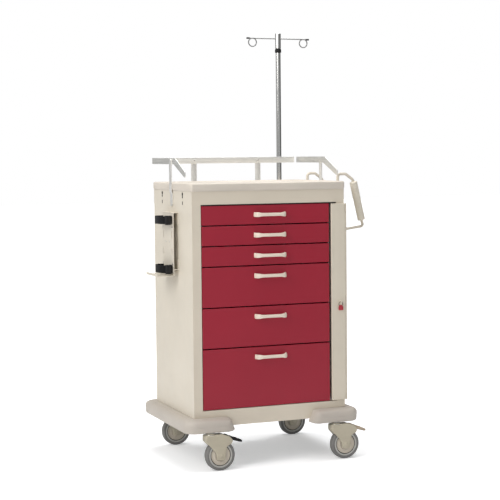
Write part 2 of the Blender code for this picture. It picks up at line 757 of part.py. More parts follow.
def slide_rack(name, side):
    """Upright comb whose teeth hold the runner bars of one side of the drawers."""
    runner_edge = TRAY_LEFT if side < 0 else TRAY_RIGHT
    tooth_edge = runner_edge + side * TOUCH * 3.0
    web_face = runner_edge + side * (RUNNER_WIDTH + RACK_SLOT_CLEARANCE)
    web_back = web_face + side * RACK_SHEET
    outline = [(web_back, OPENING_BOTTOM - 0.004), (web_face, OPENING_BOTTOM - 0.004)]
    for bottom, _ in reversed(drawer_levels()):
        slot_low = bottom + RUNNER_LIFT - SLIDE_GAP
        slot_high = bottom + RUNNER_LIFT + RUNNER_HEIGHT + SLIDE_GAP
        for low, high in ((slot_low - RACK_SHEET, slot_low), (slot_high, slot_high + RACK_SHEET)):
            outline += [(web_face, low), (tooth_edge, low), (tooth_edge, high), (web_face, high)]
    outline += [(web_face, OPENING_TOP - 0.002), (web_back, OPENING_TOP - 0.002)]
    front = FRONT + RACK_END
    rear = REAR - RACK_END
    rack = make_object(name, prism(outline, "Y", front, rear))
    wall = side * (SIDE - SHEET - TOUCH)
    near, far = sorted((wall, web_back - side * RACK_SHEET / 2.0))
    uprights = []
    for start in (front + 0.001, rear - RACK_UPRIGHT - 0.001):
        uprights.append(box((near, start, OPENING_BOTTOM + 0.001), (far, start + RACK_UPRIGHT, OPENING_TOP - 0.006)))
    combine(rack, uprights, "UNION")
    return paint(rack, STEEL_ZINC)


# ---------------------------------------------------------------- lock bar
def knuckle_bands():
    """Heights of the fixed hinge knuckles; the bar carries the knuckles between them."""
    middle = (LOCK_BAR_BOTTOM + LOCK_BAR_TOP) / 2.0
    return [
        (LOCK_BAR_BOTTOM, LOCK_BAR_BOTTOM + KNUCKLE_LENGTH),
        (middle - KNUCKLE_LENGTH / 2.0, middle + KNUCKLE_LENGTH / 2.0),
        (LOCK_BAR_TOP - KNUCKLE_LENGTH, LOCK_BAR_TOP),
    ]


def lock_bar():
    """Hinged bar over the right edge of the drawers, with a drilled lug for the seal."""
    back = FRONT - TOUCH
    face = back - LOCK_BAR_DEPTH
    right = SIDE + LOCK_BAR_RIGHT
    left = right - LOCK_BAR_WIDTH
    pivot = (HINGE_X, HINGE_Y, LOCK_BAR_BOTTOM)

    def ring(inset, y):
        low = LOCK_BAR_BOTTOM + inset
        high = LOCK_BAR_TOP - inset
        return [(left + inset, y, low), (right - inset, y, low), (right - inset, y, high), (left + inset, y, high)]

    rings = [
        ring(0.0015, face),
        ring(0.0, face + 0.0015),
        ring(0.0, back),
        ring(SHEET, back),
        ring(SHEET, face + SHEET + 0.0015),
    ]
    bar = make_object("lock_bar", loft(rings), pivot)
    bands = knuckle_bands()
    additions = []
    for lower, upper in zip(bands[:-1], bands[1:]):
        low = lower[1] + SLIDE_GAP
        high = upper[0] - SLIDE_GAP
        additions.append(box((right - 0.001, HINGE_Y - KNUCKLE_RADIUS + 0.0006, low),
                             (HINGE_X - 0.002, HINGE_Y - 0.001, high)))
        additions.append(cylinder((HINGE_X, HINGE_Y, low), (HINGE_X, HINGE_Y, high), KNUCKLE_RADIUS, 16))
    middle_x = (left + right) / 2.0 + 0.006
    additions.append(box((middle_x - 0.0015, face - HASP_REACH, HASP_HEIGHT - HASP_SIZE / 2.0),
                         (middle_x + 0.0015, face + 0.001, HASP_HEIGHT + HASP_SIZE / 2.0)))
    combine(bar, additions, "UNION")
    hole_y = face - HASP_REACH / 2.0
    cuts = [
        cylinder((HINGE_X, HINGE_Y, LOCK_BAR_BOTTOM - 0.01), (HINGE_X, HINGE_Y, LOCK_BAR_TOP + 0.01),
                 HINGE_PIN_RADIUS + BORE_GAP, 16),
        cylinder((middle_x - 0.01, hole_y, HASP_HEIGHT), (middle_x + 0.01, hole_y, HASP_HEIGHT),
                 HASP_HOLE_RADIUS, 16),
    ]
    combine(bar, cuts, "DIFFERENCE")
    return paint(bar, PAINT_LIGHT), (middle_x, hole_y)


def lock_bar_hinge():
    """Fixed hinge leaf on the right side panel with three knuckles and the long pin."""
    low, high = LOCK_BAR_BOTTOM, LOCK_BAR_TOP
    leaf_front = HINGE_Y + KNUCKLE_RADIUS + SLIDE_GAP
    leaf = make_object("lock_bar_hinge", box(
        (SIDE + TOUCH, leaf_front, low), (SIDE + 0.003, FRONT + HINGE_LEAF_DEPTH, high)))
    additions = []
    for bottom, top in knuckle_bands():
        additions.append(box((SIDE + 0.001, HINGE_Y, bottom), (HINGE_X, leaf_front + 0.002, top)))
        additions.append(cylinder((HINGE_X, HINGE_Y, bottom), (HINGE_X, HINGE_Y, top), KNUCKLE_RADIUS, 16))
    combine(leaf, additions, "UNION")
    pin = cylinder((HINGE_X, HINGE_Y, low + 0.001), (HINGE_X, HINGE_Y, high - 0.001), HINGE_PIN_RADIUS, 12)
    combine(leaf, [pin], "UNION")
    return paint(leaf, STEEL_ZINC)


def breakaway_seal(lug):
    """Breakaway seal: a flat tag on a closed loop through the lug hole."""
    middle_x, hole_y = lug
    loop_radius = 0.008
    wire = 0.0011
    centre_z = HASP_HEIGHT - loop_radius
    rings = []
    for step in range(16):
        angle = 2.0 * math.pi * step / 16
        centre = Vector((middle_x + loop_radius * math.sin(angle), hole_y, centre_z + loop_radius * math.cos(angle)))
        direction = (math.cos(angle), 0.0, -math.sin(angle))
        rings.append(circle(centre, direction, wire, 8))
    seal = make_object("breakaway_seal", loft(rings, closed=True), (HINGE_X, HINGE_Y, LOCK_BAR_BOTTOM))
    top = centre_z - loop_radius + wire
    tag = box((middle_x - 0.009, hole_y - 0.0012, top - 0.030), (middle_x + 0.009, hole_y + 0.0012, top))
    combine(seal, [tag], "UNION")
    return paint(seal, SEAL_RED)


# ---------------------------------------------------------------- casters
def fork_outline():
    """Side view of the caster fork relative to its swivel axis."""
    axle_x = CASTER_TRAIL
    axle_z = WHEEL_RADIUS
    lobe = 0.019
    outline = [
        (-0.027, FORK_TOP), (-0.025, FORK_TOP - 0.030), (0.004, axle_z + 0.030), (axle_x - lobe, axle_z),
    ]
    for step in range(1, 6):
        angle = math.radians(180.0 + 30.0 * step)
        outline.append((axle_x + lobe * math.cos(angle), axle_z + lobe * math.sin(angle)))
    outline += [
        (axle_x + lobe, axle_z), (axle_x + 0.023, axle_z + 0.038), (axle_x + 0.045, axle_z + 0.048),
        (axle_x + 0.051, axle_z + 0.060), (axle_x + 0.036, FORK_TOP - 0.012), (axle_x + 0.007, FORK_TOP),
    ]
    return outline


def caster_fork(name, place, braked):
    """Fork with its raceway, stem and axle pin; a braked fork is open behind for the pedal."""
    x, y = place
    axle = (x + CASTER_TRAIL, y, WHEEL_RADIUS)
    outline = [(x + along, height) for along, height in fork_outline()]
    fork = make_object(name, prism(outline, "Y", y - FORK_HALF_WIDTH, y + FORK_HALF_WIDTH), (x, y, FORK_TOP))
    bevelled(fork, 0.003)
    slot = WHEEL_WIDTH / 2.0 + FORK_WHEEL_SIDE_GAP
    cuts = [cylinder((axle[0], y - slot, axle[2]), (axle[0], y + slot, axle[2]),
                     WHEEL_RADIUS + FORK_WHEEL_TOP_GAP, 32)]
    if braked:
        cuts.append(box((x + PEDAL_PIVOT_X - 0.010, y - slot, WHEEL_RADIUS + 0.045),
                        (x + 0.110, y + slot, FORK_TOP + 0.010)))
        cuts.append(cylinder((x + PEDAL_PIVOT_X, y - 0.03, PEDAL_PIVOT_Z), (x + PEDAL_PIVOT_X, y + 0.03, PEDAL_PIVOT_Z),
                             PEDAL_PIN_RADIUS + BORE_GAP, 16))
    combine(fork, cuts, "DIFFERENCE")
    raceway_top = BUMPER_BOTTOM - 2.0 * TOUCH
    reach = FORK_HALF_WIDTH - 0.001
    parts = [
        cylinder((x, y, FORK_TOP - 0.004), (x, y, raceway_top), RACEWAY_RADIUS, 24),
        cylinder((x, y, FORK_TOP - 0.002), (x, y, CABINET_BOTTOM - 0.001), STEM_RADIUS, 24),
        cylinder((axle[0], y - reach, axle[2]), (axle[0], y + reach, axle[2]), AXLE_RADIUS, 16),
    ]
    combine(fork, parts, "UNION")
    return paint(fork, PAINT_TAUPE)


def caster_wheel(name, place):
    """Moulded wheel with a hub, a thin web and a flat-bottomed faceted tread."""
    x, y = place
    sides = 24
    outer = WHEEL_RADIUS / math.cos(math.pi / sides)
    half = WHEEL_WIDTH / 2.0
    bore = AXLE_RADIUS + BORE_GAP
    profile = [
        (-half, bore), (-half, 0.012), (-half + 0.004, 0.015), (-half + 0.004, 0.040), (-half, 0.045),
        (-half + 0.001, outer - 0.007), (-half + 0.007, outer),
    ]
    profile += [(-along, radius) for along, radius in reversed(profile)]
    centre = (x + CASTER_TRAIL, y, WHEEL_RADIUS)
    wheel = make_object(name, turned(centre, (0.0, 1.0, 0.0), profile, sides, bored=True, phase=math.pi / sides),
                        centre, smooth=True)
    return paint(wheel, WHEEL_GREY)


def brake_pedal(name, place):
    """Foot pedal on a cross pin between the cheeks of a braked fork."""
    x, y = place
    pivot = (x + PEDAL_PIVOT_X, y, PEDAL_PIVOT_Z)
    outline = [
        (-0.0055, 0.003), (-0.002, 0.0065), (0.006, 0.0065), (0.036, -0.008), (0.071, -0.020),
        (0.075, -0.029), (0.068, -0.032), (0.032, -0.021), (0.006, -0.009), (-0.004, -0.006),
    ]
    placed = [(pivot[0] + along, pivot[2] + height) for along, height in outline]
    pedal = make_object(name, prism(placed, "Y", y - PEDAL_HALF_WIDTH, y + PEDAL_HALF_WIDTH), pivot)
    bevelled(pedal, 0.0012, segments=1)
    reach = FORK_HALF_WIDTH - 0.002
    pin = cylinder((pivot[0], y - reach, pivot[2]), (pivot[0], y + reach, pivot[2]), PEDAL_PIN_RADIUS, 16)
    combine(pedal, [pin], "UNION")
    return paint(pedal, PLASTIC_BLACK)


def build_casters():
    """Four swivel casters; the two front ones carry a brake pedal."""
    pieces = []
    first = {}
    for label, side, end in (("fl", -1, -1), ("fr", 1, -1), ("rl", -1, 1), ("rr", 1, 1)):
        place = (side * CASTER_X, end * CASTER_Y)
        braked = end < 0
        fork_name = "caster_" + label + "_fork"
        wheel_name = "caster_" + label + "_wheel"
        if braked not in first:
            fork = caster_fork(fork_name, place, braked)
            first[braked] = fork
        else:
            fork = paint(copy_of(first[braked], fork_name, (place[0], place[1], FORK_TOP)), PAINT_TAUPE)
        centre = (place[0] + CASTER_TRAIL, place[1], WHEEL_RADIUS)
        if "wheel" not in first:
            wheel = caster_wheel(wheel_name, place)
            first["wheel"] = wheel
        else:
            wheel = paint(copy_of(first["wheel"], wheel_name, centre), WHEEL_GREY)
        pieces += [fork, wheel]
        if braked:
            pedal = brake_pedal("brake_pedal_" + label, place)
            if side > 0:
                paint(pedal, PLASTIC_CREAM)
            pieces.append(pedal)
    return pieces


# ---------------------------------------------------------------- rails
def side_rail(name, side):
    """Flat rail along one side that slopes down at the front, with its joggled post."""
    top = RAIL_TOP
    low = RAIL_TOP - RAIL_HEIGHT
    rear = REAR + COVER_OVERHANG + COVER_CLEARANCE
    outline = [
        (rear, low), (rear, top), (RAIL_BEND_Y - RAIL_TOP_BEND_LEAD, top),
        (RAIL_TIP_Y + 0.004, top - RAIL_TIP_DROP), (RAIL_TIP_Y, top - RAIL_TIP_DROP - 0.008),
        (RAIL_TIP_Y + 0.003, low - RAIL_TIP_DROP + 0.004), (RAIL_TIP_Y + 0.012, low - RAIL_TIP_DROP),
        (RAIL_BEND_Y + RAIL_LOW_BEND_LAG, low),
    ]
    outer = RAIL_OUT + RAIL_BITE
    near, far = sorted((side * (outer - RAIL_THICKNESS), side * outer))
    rail = make_object(name, prism(outline, "X", near, far))
    foot = SIDE + TOUCH
    foot_low = CABINET_TOP - RAIL_POST_FOOT_DROP
    joggle_low = CABINET_TOP - 0.012
    joggle_high = CABINET_TOP - 0.004
    thick = RAIL_POST_THICKNESS
    post = [
        (foot, foot_low), (foot + thick, foot_low), (foot + thick, joggle_low),
        (RAIL_OUT + thick, joggle_high), (RAIL_OUT + thick, top - 0.003), (RAIL_OUT, top - 0.003),
        (RAIL_OUT, joggle_high), (foot, joggle_low),
    ]
    post = [(side * out, height) for out, height in post]
    half = RAIL_POST_WIDTH / 2.0
    combine(rail, [prism(post, "Y", -half, half)], "UNION")
    return paint(rail, STEEL_BRIGHT)


def back_rail():
    """Flat rail across the back on two joggled posts."""
    post_out = REAR + COVER_OVERHANG + COVER_CLEARANCE
    face = post_out + RAIL_BITE - RAIL_THICKNESS
    half = BACK_RAIL_HALF
    low = RAIL_TOP - RAIL_HEIGHT
    rail = make_object("back_rail", box((-half, face, low), (half, face + RAIL_THICKNESS, RAIL_TOP)))
    foot = REAR - SHEET
    foot_low = CABINET_TOP - RAIL_POST_FOOT_DROP
    joggle_low = CABINET_TOP - 0.016
    joggle_high = CABINET_TOP - 0.004
    thick = RAIL_POST_THICKNESS
    outline = [
        (foot, foot_low), (foot + thick, foot_low), (foot + thick, joggle_low),
        (post_out + thick, joggle_high), (post_out + thick, RAIL_TOP - 0.003), (post_out, RAIL_TOP - 0.003),
        (post_out, joggle_high), (foot, joggle_low),
    ]
    width = RAIL_POST_WIDTH / 2.0
    posts = [prism(outline, "X", x - width, x + width) for x in (-BACK_POST_X, BACK_POST_X)]
    combine(rail, posts, "UNION")
    return paint(rail, STEEL_BRIGHT)


# ---------------------------------------------------------------- pole
def pole_bracket():
    """Wall plate with two clamp arms that hold the pole tube."""
    face = REAR - SHEET
    low = POLE_BOTTOM + 0.030
    high = CABINET_TOP - 0.044
    bracket = make_object("pole_bracket", box((POLE_X - 0.020, face, low), (POLE_X + 0.020, face + 0.003, high)))
    arms = []
    bores = []
    for bottom in (low + 0.010, high - 0.050):
        arms.append(box((POLE_X - 0.012, face + 0.001, bottom), (POLE_X + 0.012, POLE_Y, bottom + 0.040)))
        arms.append(cylinder((POLE_X, POLE_Y, bottom), (POLE_X, POLE_Y, bottom + 0.040),
                             POLE_RADIUS + POLE_CLAMP_WALL, 24))
        bores.append(cylinder((POLE_X, POLE_Y, bottom - 0.01), (POLE_X, POLE_Y, bottom + 0.05),
                              POLE_RADIUS + BORE_GAP, 24))
    combine(bracket, arms, "UNION")
    combine(bracket, bores, "DIFFERENCE")
    return paint(bracket, PAINT_LIGHT)


def pole_tube():
    """Outer pole tube with a closed lower end."""
    inner = POLE_RADIUS - POLE_WALL
    profile = [(0.0, POLE_RADIUS), (POLE_TOP - POLE_BOTTOM, POLE_RADIUS), (POLE_TOP - POLE_BOTTOM, inner),
               (0.006, inner)]
    tube = make_object("iv_pole_tube", turned((POLE_X, POLE_Y, POLE_BOTTOM), (0, 0, 1), profile, 24), smooth=True)
    return paint(tube, STEEL_BRIGHT)


def twist_collar():
    """Ribbed collar on top of the tube around the inner rod."""
    start = POLE_TOP + TOUCH
    bore = ROD_RADIUS + BORE_GAP
    height = COLLAR_HEIGHT - TOUCH
    profile = [
        (0.0, bore), (0.0, COLLAR_RADIUS - 0.0015), (0.0015, COLLAR_RADIUS), (height - 0.003, COLLAR_RADIUS),
        (height, COLLAR_RADIUS - 0.002), (height, bore),
    ]
    collar = make_object("iv_twist_collar", turned((POLE_X, POLE_Y, start), (0, 0, 1), profile, 24, bored=True))
    return paint(collar, PLASTIC_BLACK)


def pole_rod():
    """Inner rod that slides in the tube and ends inside the hook head."""
    top = POLE_TOP + COLLAR_HEIGHT + HEAD_SOCKET
    rod = make_object("iv_pole_rod", cylinder((POLE_X, POLE_Y, ROD_BOTTOM), (POLE_X, POLE_Y, top), ROD_RADIUS, 24),
                      (POLE_X, POLE_Y, POLE_TOP), smooth=True)
    return paint(rod, STEEL_BRIGHT)


def hook_head():
    """Head sleeve that turns on the rod and carries the hook wire."""
    start = POLE_TOP + COLLAR_HEIGHT + TOUCH
    height = HEAD_HEIGHT - TOUCH
    bore = ROD_RADIUS + BORE_GAP
    socket = HEAD_SOCKET + TOUCH
    profile = [
        (socket, bore), (0.0, bore), (0.0, HEAD_RADIUS - 0.001), (0.001, HEAD_RADIUS),
        (height - 0.003, HEAD_RADIUS), (height, HEAD_RADIUS - 0.003),
    ]
    head = make_object("iv_hook_head", turned((POLE_X, POLE_Y, start), (0, 0, 1), profile, 24),
                       (POLE_X, POLE_Y, start))
    level = POLE_TOP + COLLAR_HEIGHT + HOOK_ABOVE_COLLAR
    hole = cylinder((POLE_X - 0.03, POLE_Y, level), (POLE_X + 0.03, POLE_Y, level), HOOK_WIRE_RADIUS + BORE_GAP, 12)
    combine(head, [hole], "DIFFERENCE")
    return paint(head, STEEL_BRIGHT)


def hook_wire():
    """One wire through the head with a pigtail ring and an outward tip at each end."""
    level = POLE_TOP + COLLAR_HEIGHT + HOOK_ABOVE_COLLAR
    turns = 18
    right = []
    for step in range(turns + 1):
        share = step / turns
        angle = math.radians(90.0 - 360.0 * share)
        right.append(Vector((
            HOOK_RING_X + HOOK_RING_RADIUS * math.cos(angle), HOOK_OFFSET * share,
            level - HOOK_RING_RADIUS + HOOK_RING_RADIUS * math.sin(angle))))
    right.append(Vector((HOOK_RING_X + 0.012, HOOK_OFFSET, level)))
    right.append(Vector((HOOK_TIP_X, HOOK_OFFSET, level)))
    left = [Vector((-point.x, -point.y, point.z)) for point in reversed(right)]
    points = [point + Vector((POLE_X, POLE_Y, 0.0)) for point in left + right]
    start = (POLE_X, POLE_Y, POLE_TOP + COLLAR_HEIGHT + TOUCH)
    wire = make_object("iv_hooks", swept_bar(points, HOOK_WIRE_RADIUS, 8), start, smooth=True)
    return paint(wire, STEEL_BRIGHT)


# ---------------------------------------------------------------- push handles
def handle_grip_ends(y):
    """Upper and lower end of the straight grip section."""
    upper = Vector((SIDE + HANDLE_REACH - 0.049, y, COVER_TOP + 0.003))
    lower = Vector((SIDE + HANDLE_REACH - 0.007, y, COVER_TOP - 0.178))
    return upper, lower


def push_handle(name, y):
    """Bent rod that rises from the side panel, arches outwards and returns below."""
    upper, lower = handle_grip_ends(y)
    wall = SIDE + TOUCH
    foot_z = CABINET_TOP - 0.036
    arm_z = COVER_TOP - HANDLE_ARM_DROP
    out = SIDE + HANDLE_FOOT_OUT
    crest = COVER_TOP + HANDLE_CREST
    corners = [
        (wall, y, foot_z), (out, y, foot_z), (out, y, crest), (out + HANDLE_CREST_LENGTH, y, crest),
        tuple(upper), tuple(lower), (SIDE + HANDLE_REACH, y, COVER_TOP - HANDLE_CORNER_DROP),
        (wall + HANDLE_ARM_LEVEL_END, y, arm_z), (wall, y, arm_z),
    ]
    radii = [0.008, 0.014, 0.016, 0.020, 0.030, 0.010, 0.020]
    points = rounded_path(corners, radii, 3)
    rod = make_object(name, swept_bar(points, HANDLE_ROD_RADIUS, 10), (wall, y, foot_z), smooth=True)
    flanges = []
    for height in (foot_z, arm_z):
        flanges.append(cylinder((wall, y, height), (wall + HANDLE_FLANGE_THICKNESS, y, height),
                                HANDLE_FLANGE_RADIUS, 16))
    combine(rod, flanges, "UNION")
    return paint(rod, PLASTIC_CREAM)


def push_grip(name, y):
    """Soft sleeve around the straight part of a push handle."""
    upper, lower = handle_grip_ends(y)
    direction = (lower - upper).normalized()
    middle = (upper + lower) / 2.0
    half = min(GRIP_LENGTH, (lower - upper).length - GRIP_BEND_ROOM) / 2.0
    bore = HANDLE_ROD_RADIUS + BORE_GAP
    start = middle - direction * half
    length = 2.0 * half
    profile = [
        (0.0, bore), (0.0, GRIP_RADIUS - 0.003), (0.003, GRIP_RADIUS), (length - 0.003, GRIP_RADIUS),
        (length, GRIP_RADIUS - 0.003), (length, bore),
    ]
    grip = make_object(name, turned(start, direction, profile, 16, bored=True), tuple(start), smooth=False)
    return paint(grip, PLASTIC_CREAM)


# ---------------------------------------------------------------- oxygen tank bracket
def oxygen_bracket():
    """Folded wall bracket with a shelf lip and four strap slots."""
    outline = [
        (TOUCH, 0.211), (TOUCH + SHEET, 0.211), (TOUCH + SHEET, 0.259), (BRACKET_STAND_OFF - SHEET, 0.259),
        (BRACKET_STAND_OFF - SHEET, 0.028), (TOUCH + SHEET, 0.028), (TOUCH + SHEET, 0.071), (TOUCH, 0.071),
        (TOUCH, 0.026), (BRACKET_STAND_OFF - SHEET, 0.026), (BRACKET_STAND_OFF - SHEET, 0.0),
        (SHELF_REACH, 0.0), (SHELF_REACH, 0.010), (SHELF_REACH - SHEET, 0.010),
        (SHELF_REACH - SHEET, 0.003), (BRACKET_STAND_OFF, 0.003), (BRACKET_STAND_OFF, 0.261), (TOUCH, 0.261),
    ]
    placed = [(-SIDE - out, BRACKET_BOTTOM + height) for out, height in outline]
    half = BRACKET_HALF_WIDTH
    bracket = make_object("oxygen_bracket", prism(placed, "Y", -half, half))
    slots = []
    for y in (-0.052, 0.052):
        for low, high in ((0.086, 0.112), (0.154, 0.183)):
            slots.append(box((-SIDE - BRACKET_STAND_OFF - 0.005, y - 0.004, BRACKET_BOTTOM + low),
                             (-SIDE - BRACKET_STAND_OFF + 0.005, y + 0.004, BRACKET_BOTTOM + high)))
    combine(bracket, slots, "DIFFERENCE")
    return paint(bracket, PAINT_LIGHT)


def tank_strap(name, low):
    """Webbing strap bowed outwards from the bracket plate, ready for a tank."""
    base = -SIDE - BRACKET_STAND_OFF - TOUCH
    outer = []
    inner = []
    steps = 12
    for step in range(steps + 1):
        angle = math.pi * step / steps
        y = -STRAP_SPAN * math.cos(angle)
        bulge = STRAP_BULGE * math.sin(angle) ** 0.6
        outer.append((base - bulge - (STRAP_THICKNESS if 0 < step < steps else 0.0), y))
        shrink = (STRAP_SPAN - STRAP_THICKNESS) / STRAP_SPAN
        inner.append((base - bulge * 0.97, y * shrink))
    outline = outer + list(reversed(inner))
    strap = make_object(name, prism(outline, "Z", low, low + STRAP_WIDTH))
    return paint(strap, PLASTIC_BLACK)


def strap_buckle(name, low):
    """Cam buckle clipped over the near leg of a strap."""
    base = -SIDE - BRACKET_STAND_OFF - TOUCH
    y = -STRAP_SPAN
    outline = [
        (base - 0.004, y - 0.0004), (base - 0.030, y - 0.0004), (base - 0.034, y - 0.006),
        (base - 0.028, y - 0.013), (base - 0.010, y - 0.014), (base - 0.004, y - 0.008),
    ]
    buckle = make_object(name, prism(outline, "Z", low - 0.003, low + STRAP_WIDTH + 0.003))
    bevelled(buckle, 0.0015, segments=1)
    return paint(buckle, PLASTIC_BLACK)


# ---------------------------------------------------------------- assembly
def build():
    """Build every piece and hang it on the root empty."""
    clear_scene()
    root = bpy.data.objects.new("cart_root", None)
    root.location = (CART_SHIFT, 0.0, 0.0)
    bpy.context.scene.collection.objects.link(root)
    pieces = [
        side_panel("left_side_panel", -1), side_panel("right_side_panel", 1), front_frame(), back_panel(),
        base_pan(), top_cover(), bumper("left_bumper", -1), bumper("right_bumper", 1),
        slide_rack("left_slide_rack", -1), slide_rack("right_slide_rack", 1),
        side_rail("left_rail", -1), side_rail("right_rail", 1), back_rail(),
        pole_bracket(), pole_tube(), twist_collar(), pole_rod(), hook_head(), hook_wire(),
        oxygen_bracket(), lock_bar_hinge(),
        push_handle("push_handle_front", -HANDLE_Y), push_grip("push_handle_front_grip", -HANDLE_Y),
        push_handle("push_handle_rear", HANDLE_Y), push_grip("push_handle_rear_grip", HANDLE_Y),
    ]
    for label, low in (("upper", BRACKET_BOTTOM + 0.214), ("lower", BRACKET_BOTTOM + 0.012)):
        pieces.append(tank_strap("strap_" + label, low))
        pieces.append(strap_buckle("strap_buckle_" + label, low))
    bar, lug = lock_bar()
    pieces += [bar, breakaway_seal(lug)]
    pieces += build_drawers()
    pieces += build_casters()
    for piece in pieces:
        attach(piece, root)
    bpy.context.view_layer.update()


build()
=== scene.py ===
"""Looks of the crash cart: detailed pieces, procedural finishes, studio light and the camera.

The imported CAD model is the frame.  Pieces are built in cart coordinates, in metres: X = 0 and Y = 0 are
the middle of the cabinet, Z = 0 is the floor and the drawers face -Y.  SHIFT takes them into the frame.
"""

import math

import bmesh
import bpy
from mathutils import Matrix, Vector


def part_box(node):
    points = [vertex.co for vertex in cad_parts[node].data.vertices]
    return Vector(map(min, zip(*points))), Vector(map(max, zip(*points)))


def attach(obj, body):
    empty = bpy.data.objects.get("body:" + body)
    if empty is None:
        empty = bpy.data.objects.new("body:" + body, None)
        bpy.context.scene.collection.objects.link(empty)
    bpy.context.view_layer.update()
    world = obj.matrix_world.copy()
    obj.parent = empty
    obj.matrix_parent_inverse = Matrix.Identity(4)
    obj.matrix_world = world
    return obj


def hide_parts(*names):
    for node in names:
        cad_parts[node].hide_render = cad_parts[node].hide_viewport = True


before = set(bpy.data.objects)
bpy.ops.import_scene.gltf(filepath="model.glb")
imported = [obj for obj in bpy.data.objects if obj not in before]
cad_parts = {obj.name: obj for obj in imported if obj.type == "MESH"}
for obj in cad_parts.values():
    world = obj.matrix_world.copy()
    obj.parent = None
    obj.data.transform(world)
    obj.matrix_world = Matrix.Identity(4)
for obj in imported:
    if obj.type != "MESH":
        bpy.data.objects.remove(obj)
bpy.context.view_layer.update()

frame_low, frame_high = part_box("front_frame")
SHIFT = (frame_low.x + frame_high.x) / 2.0

# ---------------------------------------------------------------- sizes shared with the CAD source
SIDE = (frame_high.x - frame_low.x) / 2.0
FRONT = frame_low.y
REAR = -FRONT
CABINET_TOP = frame_high.z
COVER_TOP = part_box("top_cover")[1].z
RAIL_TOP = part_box("back_rail")[1].z
RAIL_HEIGHT = 0.026
RAIL_THICKNESS = 0.004
TOUCH = 0.0003
COVER_OVERHANG = 0.004
COVER_EDGE = COVER_OVERHANG + 0.0007
RAIL_OUT = SIDE + COVER_EDGE
RAIL_BITE = 0.0005
BACK_RAIL_HALF = 0.325
POST_HALF = 0.0125
POST_THICKNESS = 0.0038
POST_FOOT = CABINET_TOP - 0.065
BACK_POST_X = 0.15
CASTER_X = 0.278
CASTER_Y = 0.276
CASTER_TRAIL = 0.038
WHEEL_RADIUS = 0.062
FORK_TOP = 0.148
FORK_HALF = 0.024
SLOT_HALF = 0.0172
PEDAL_X = 0.06
PEDAL_Z = 0.139
BUMPER_LOW = 0.154
BUMPER_HIGH = 0.21
BUMPER_PROUD = 0.05
BUMPER_WRAP = 0.168
POLE_X = 0.264
POLE_Y = REAR + 0.033
POLE_TOP = 1.722
POLE_BOTTOM = 0.56
HOOK_Z = 1.784
HOOK_RING_X = 0.124
HOOK_RING_RADIUS = 0.018
HOOK_STEP = 0.0065
HANDLE_Y = 0.157
GRIP_TOP = Vector((SIDE + 0.0845, 0.0, COVER_TOP + 0.003))
GRIP_LOW = Vector((SIDE + 0.1265, 0.0, COVER_TOP - 0.178))
BRACKET_Z = 0.774
PLATE_X = -SIDE - 0.022
LUG_X = 0.311
LUG_Y = -0.2607
LUG_Z = 0.652
DRAWER_UNIT = 0.083
DRAWER_UNITS = (1, 1, 1, 2, 2, 3)
OPENING_TOP = 1.068
PULL_REACH = 0.027
PANEL_HOLE_Y = 0.131
GRIP_LENGTH = 0.168
BEVEL_ANGLE = 35.0
CAMERA_PLACE = (-2.1842, -5.5282, 1.2705)
CAMERA_TURN = (21.959, 3.38, -0.524)
CAMERA_LENS = 101.0088
CAMERA_SHIFT = (-0.01498, -0.02552)
CORNERS = (("fl", -1, -1), ("fr", 1, -1), ("rl", -1, 1), ("rr", 1, 1))


# ---------------------------------------------------------------- solids
def loft(rings, closed=False):
    """Skin rings of equal length; closed joins the last ring to the first, otherwise the ends are capped."""
    count = len(rings[0])
    points = [tuple(point) for ring in rings for point in ring]
    faces = []
    spans = len(rings) if closed else len(rings) - 1
    for index in range(spans):
        start = index * count
        following = ((index + 1) % len(rings)) * count
        for corner in range(count):
            beside = (corner + 1) % count
            faces.append((start + corner, start + beside, following + beside, following + corner))
    if not closed:
        faces.append(tuple(reversed(range(count))))
        faces.append(tuple(range((len(rings) - 1) * count, len(rings) * count)))
    return points, faces


def prism(outline, axis, low, high):
    """Extrude a flat outline along X, Y or Z between two positions."""
    orders = {"X": lambda a, b, h: (h, a, b), "Y": lambda a, b, h: (a, h, b), "Z": lambda a, b, h: (a, b, h)}
    place = orders[axis]
    return loft([[place(first, second, height) for first, second in outline] for height in (low, high)])


def rounded(corners, radii, steps=5):
    """Round the corners of a closed outline of (a, b) pairs with arcs, as far as the edges allow."""
    if not isinstance(radii, (list, tuple)):
        radii = [radii] * len(corners)
    outline = []
    for index, radius in enumerate(radii):
        here = Vector(corners[index])
        to_before = Vector(corners[index - 1]) - here
        to_after = Vector(corners[(index + 1) % len(corners)]) - here
        if radius <= 0.0:
            outline.append(tuple(here))
            continue
        half = to_before.angle(to_after) / 2.0
        setback = min(radius / math.tan(half), 0.48 * to_before.length, 0.48 * to_after.length)
        begin = here + to_before.normalized() * setback
        finish = here + to_after.normalized() * setback
        for step in range(steps + 1):
            share = step / steps
            outline.append(tuple(begin * (1 - share) ** 2 + here * 2 * share * (1 - share) + finish * share ** 2))
    return outline


def circle(centre, direction, radius, sides, ripple=0.0, waves=0):
    """Points around a centre, facing along a direction; a ripple makes the ring scalloped."""
    axis = Vector(direction).normalized()
    helper = Vector((0.0, 0.0, 1.0)) if abs(axis.z) < 0.9 else Vector((1.0, 0.0, 0.0))
    first = axis.cross(helper).normalized()
    second = axis.cross(first).normalized()
    ring = []
    for index in range(sides):
        angle = 2.0 * math.pi * index / sides
        reach = radius + ripple * math.cos(waves * angle)
        ring.append(Vector(centre) + reach * (math.cos(angle) * first + math.sin(angle) * second))
    return ring


def turned(origin, direction, profile, sides=48, bored=False):
    """Solid of revolution from (distance, radius) or (distance, radius, ripple, waves) entries."""
    axis = Vector(direction).normalized()
    rings = []
    for entry in profile:
        ripple, waves = (entry[2], entry[3]) if len(entry) > 2 else (0.0, 0)
        rings.append(circle(Vector(origin) + axis * entry[0], axis, entry[1], sides, ripple, waves))
    return loft(rings, closed=bored)


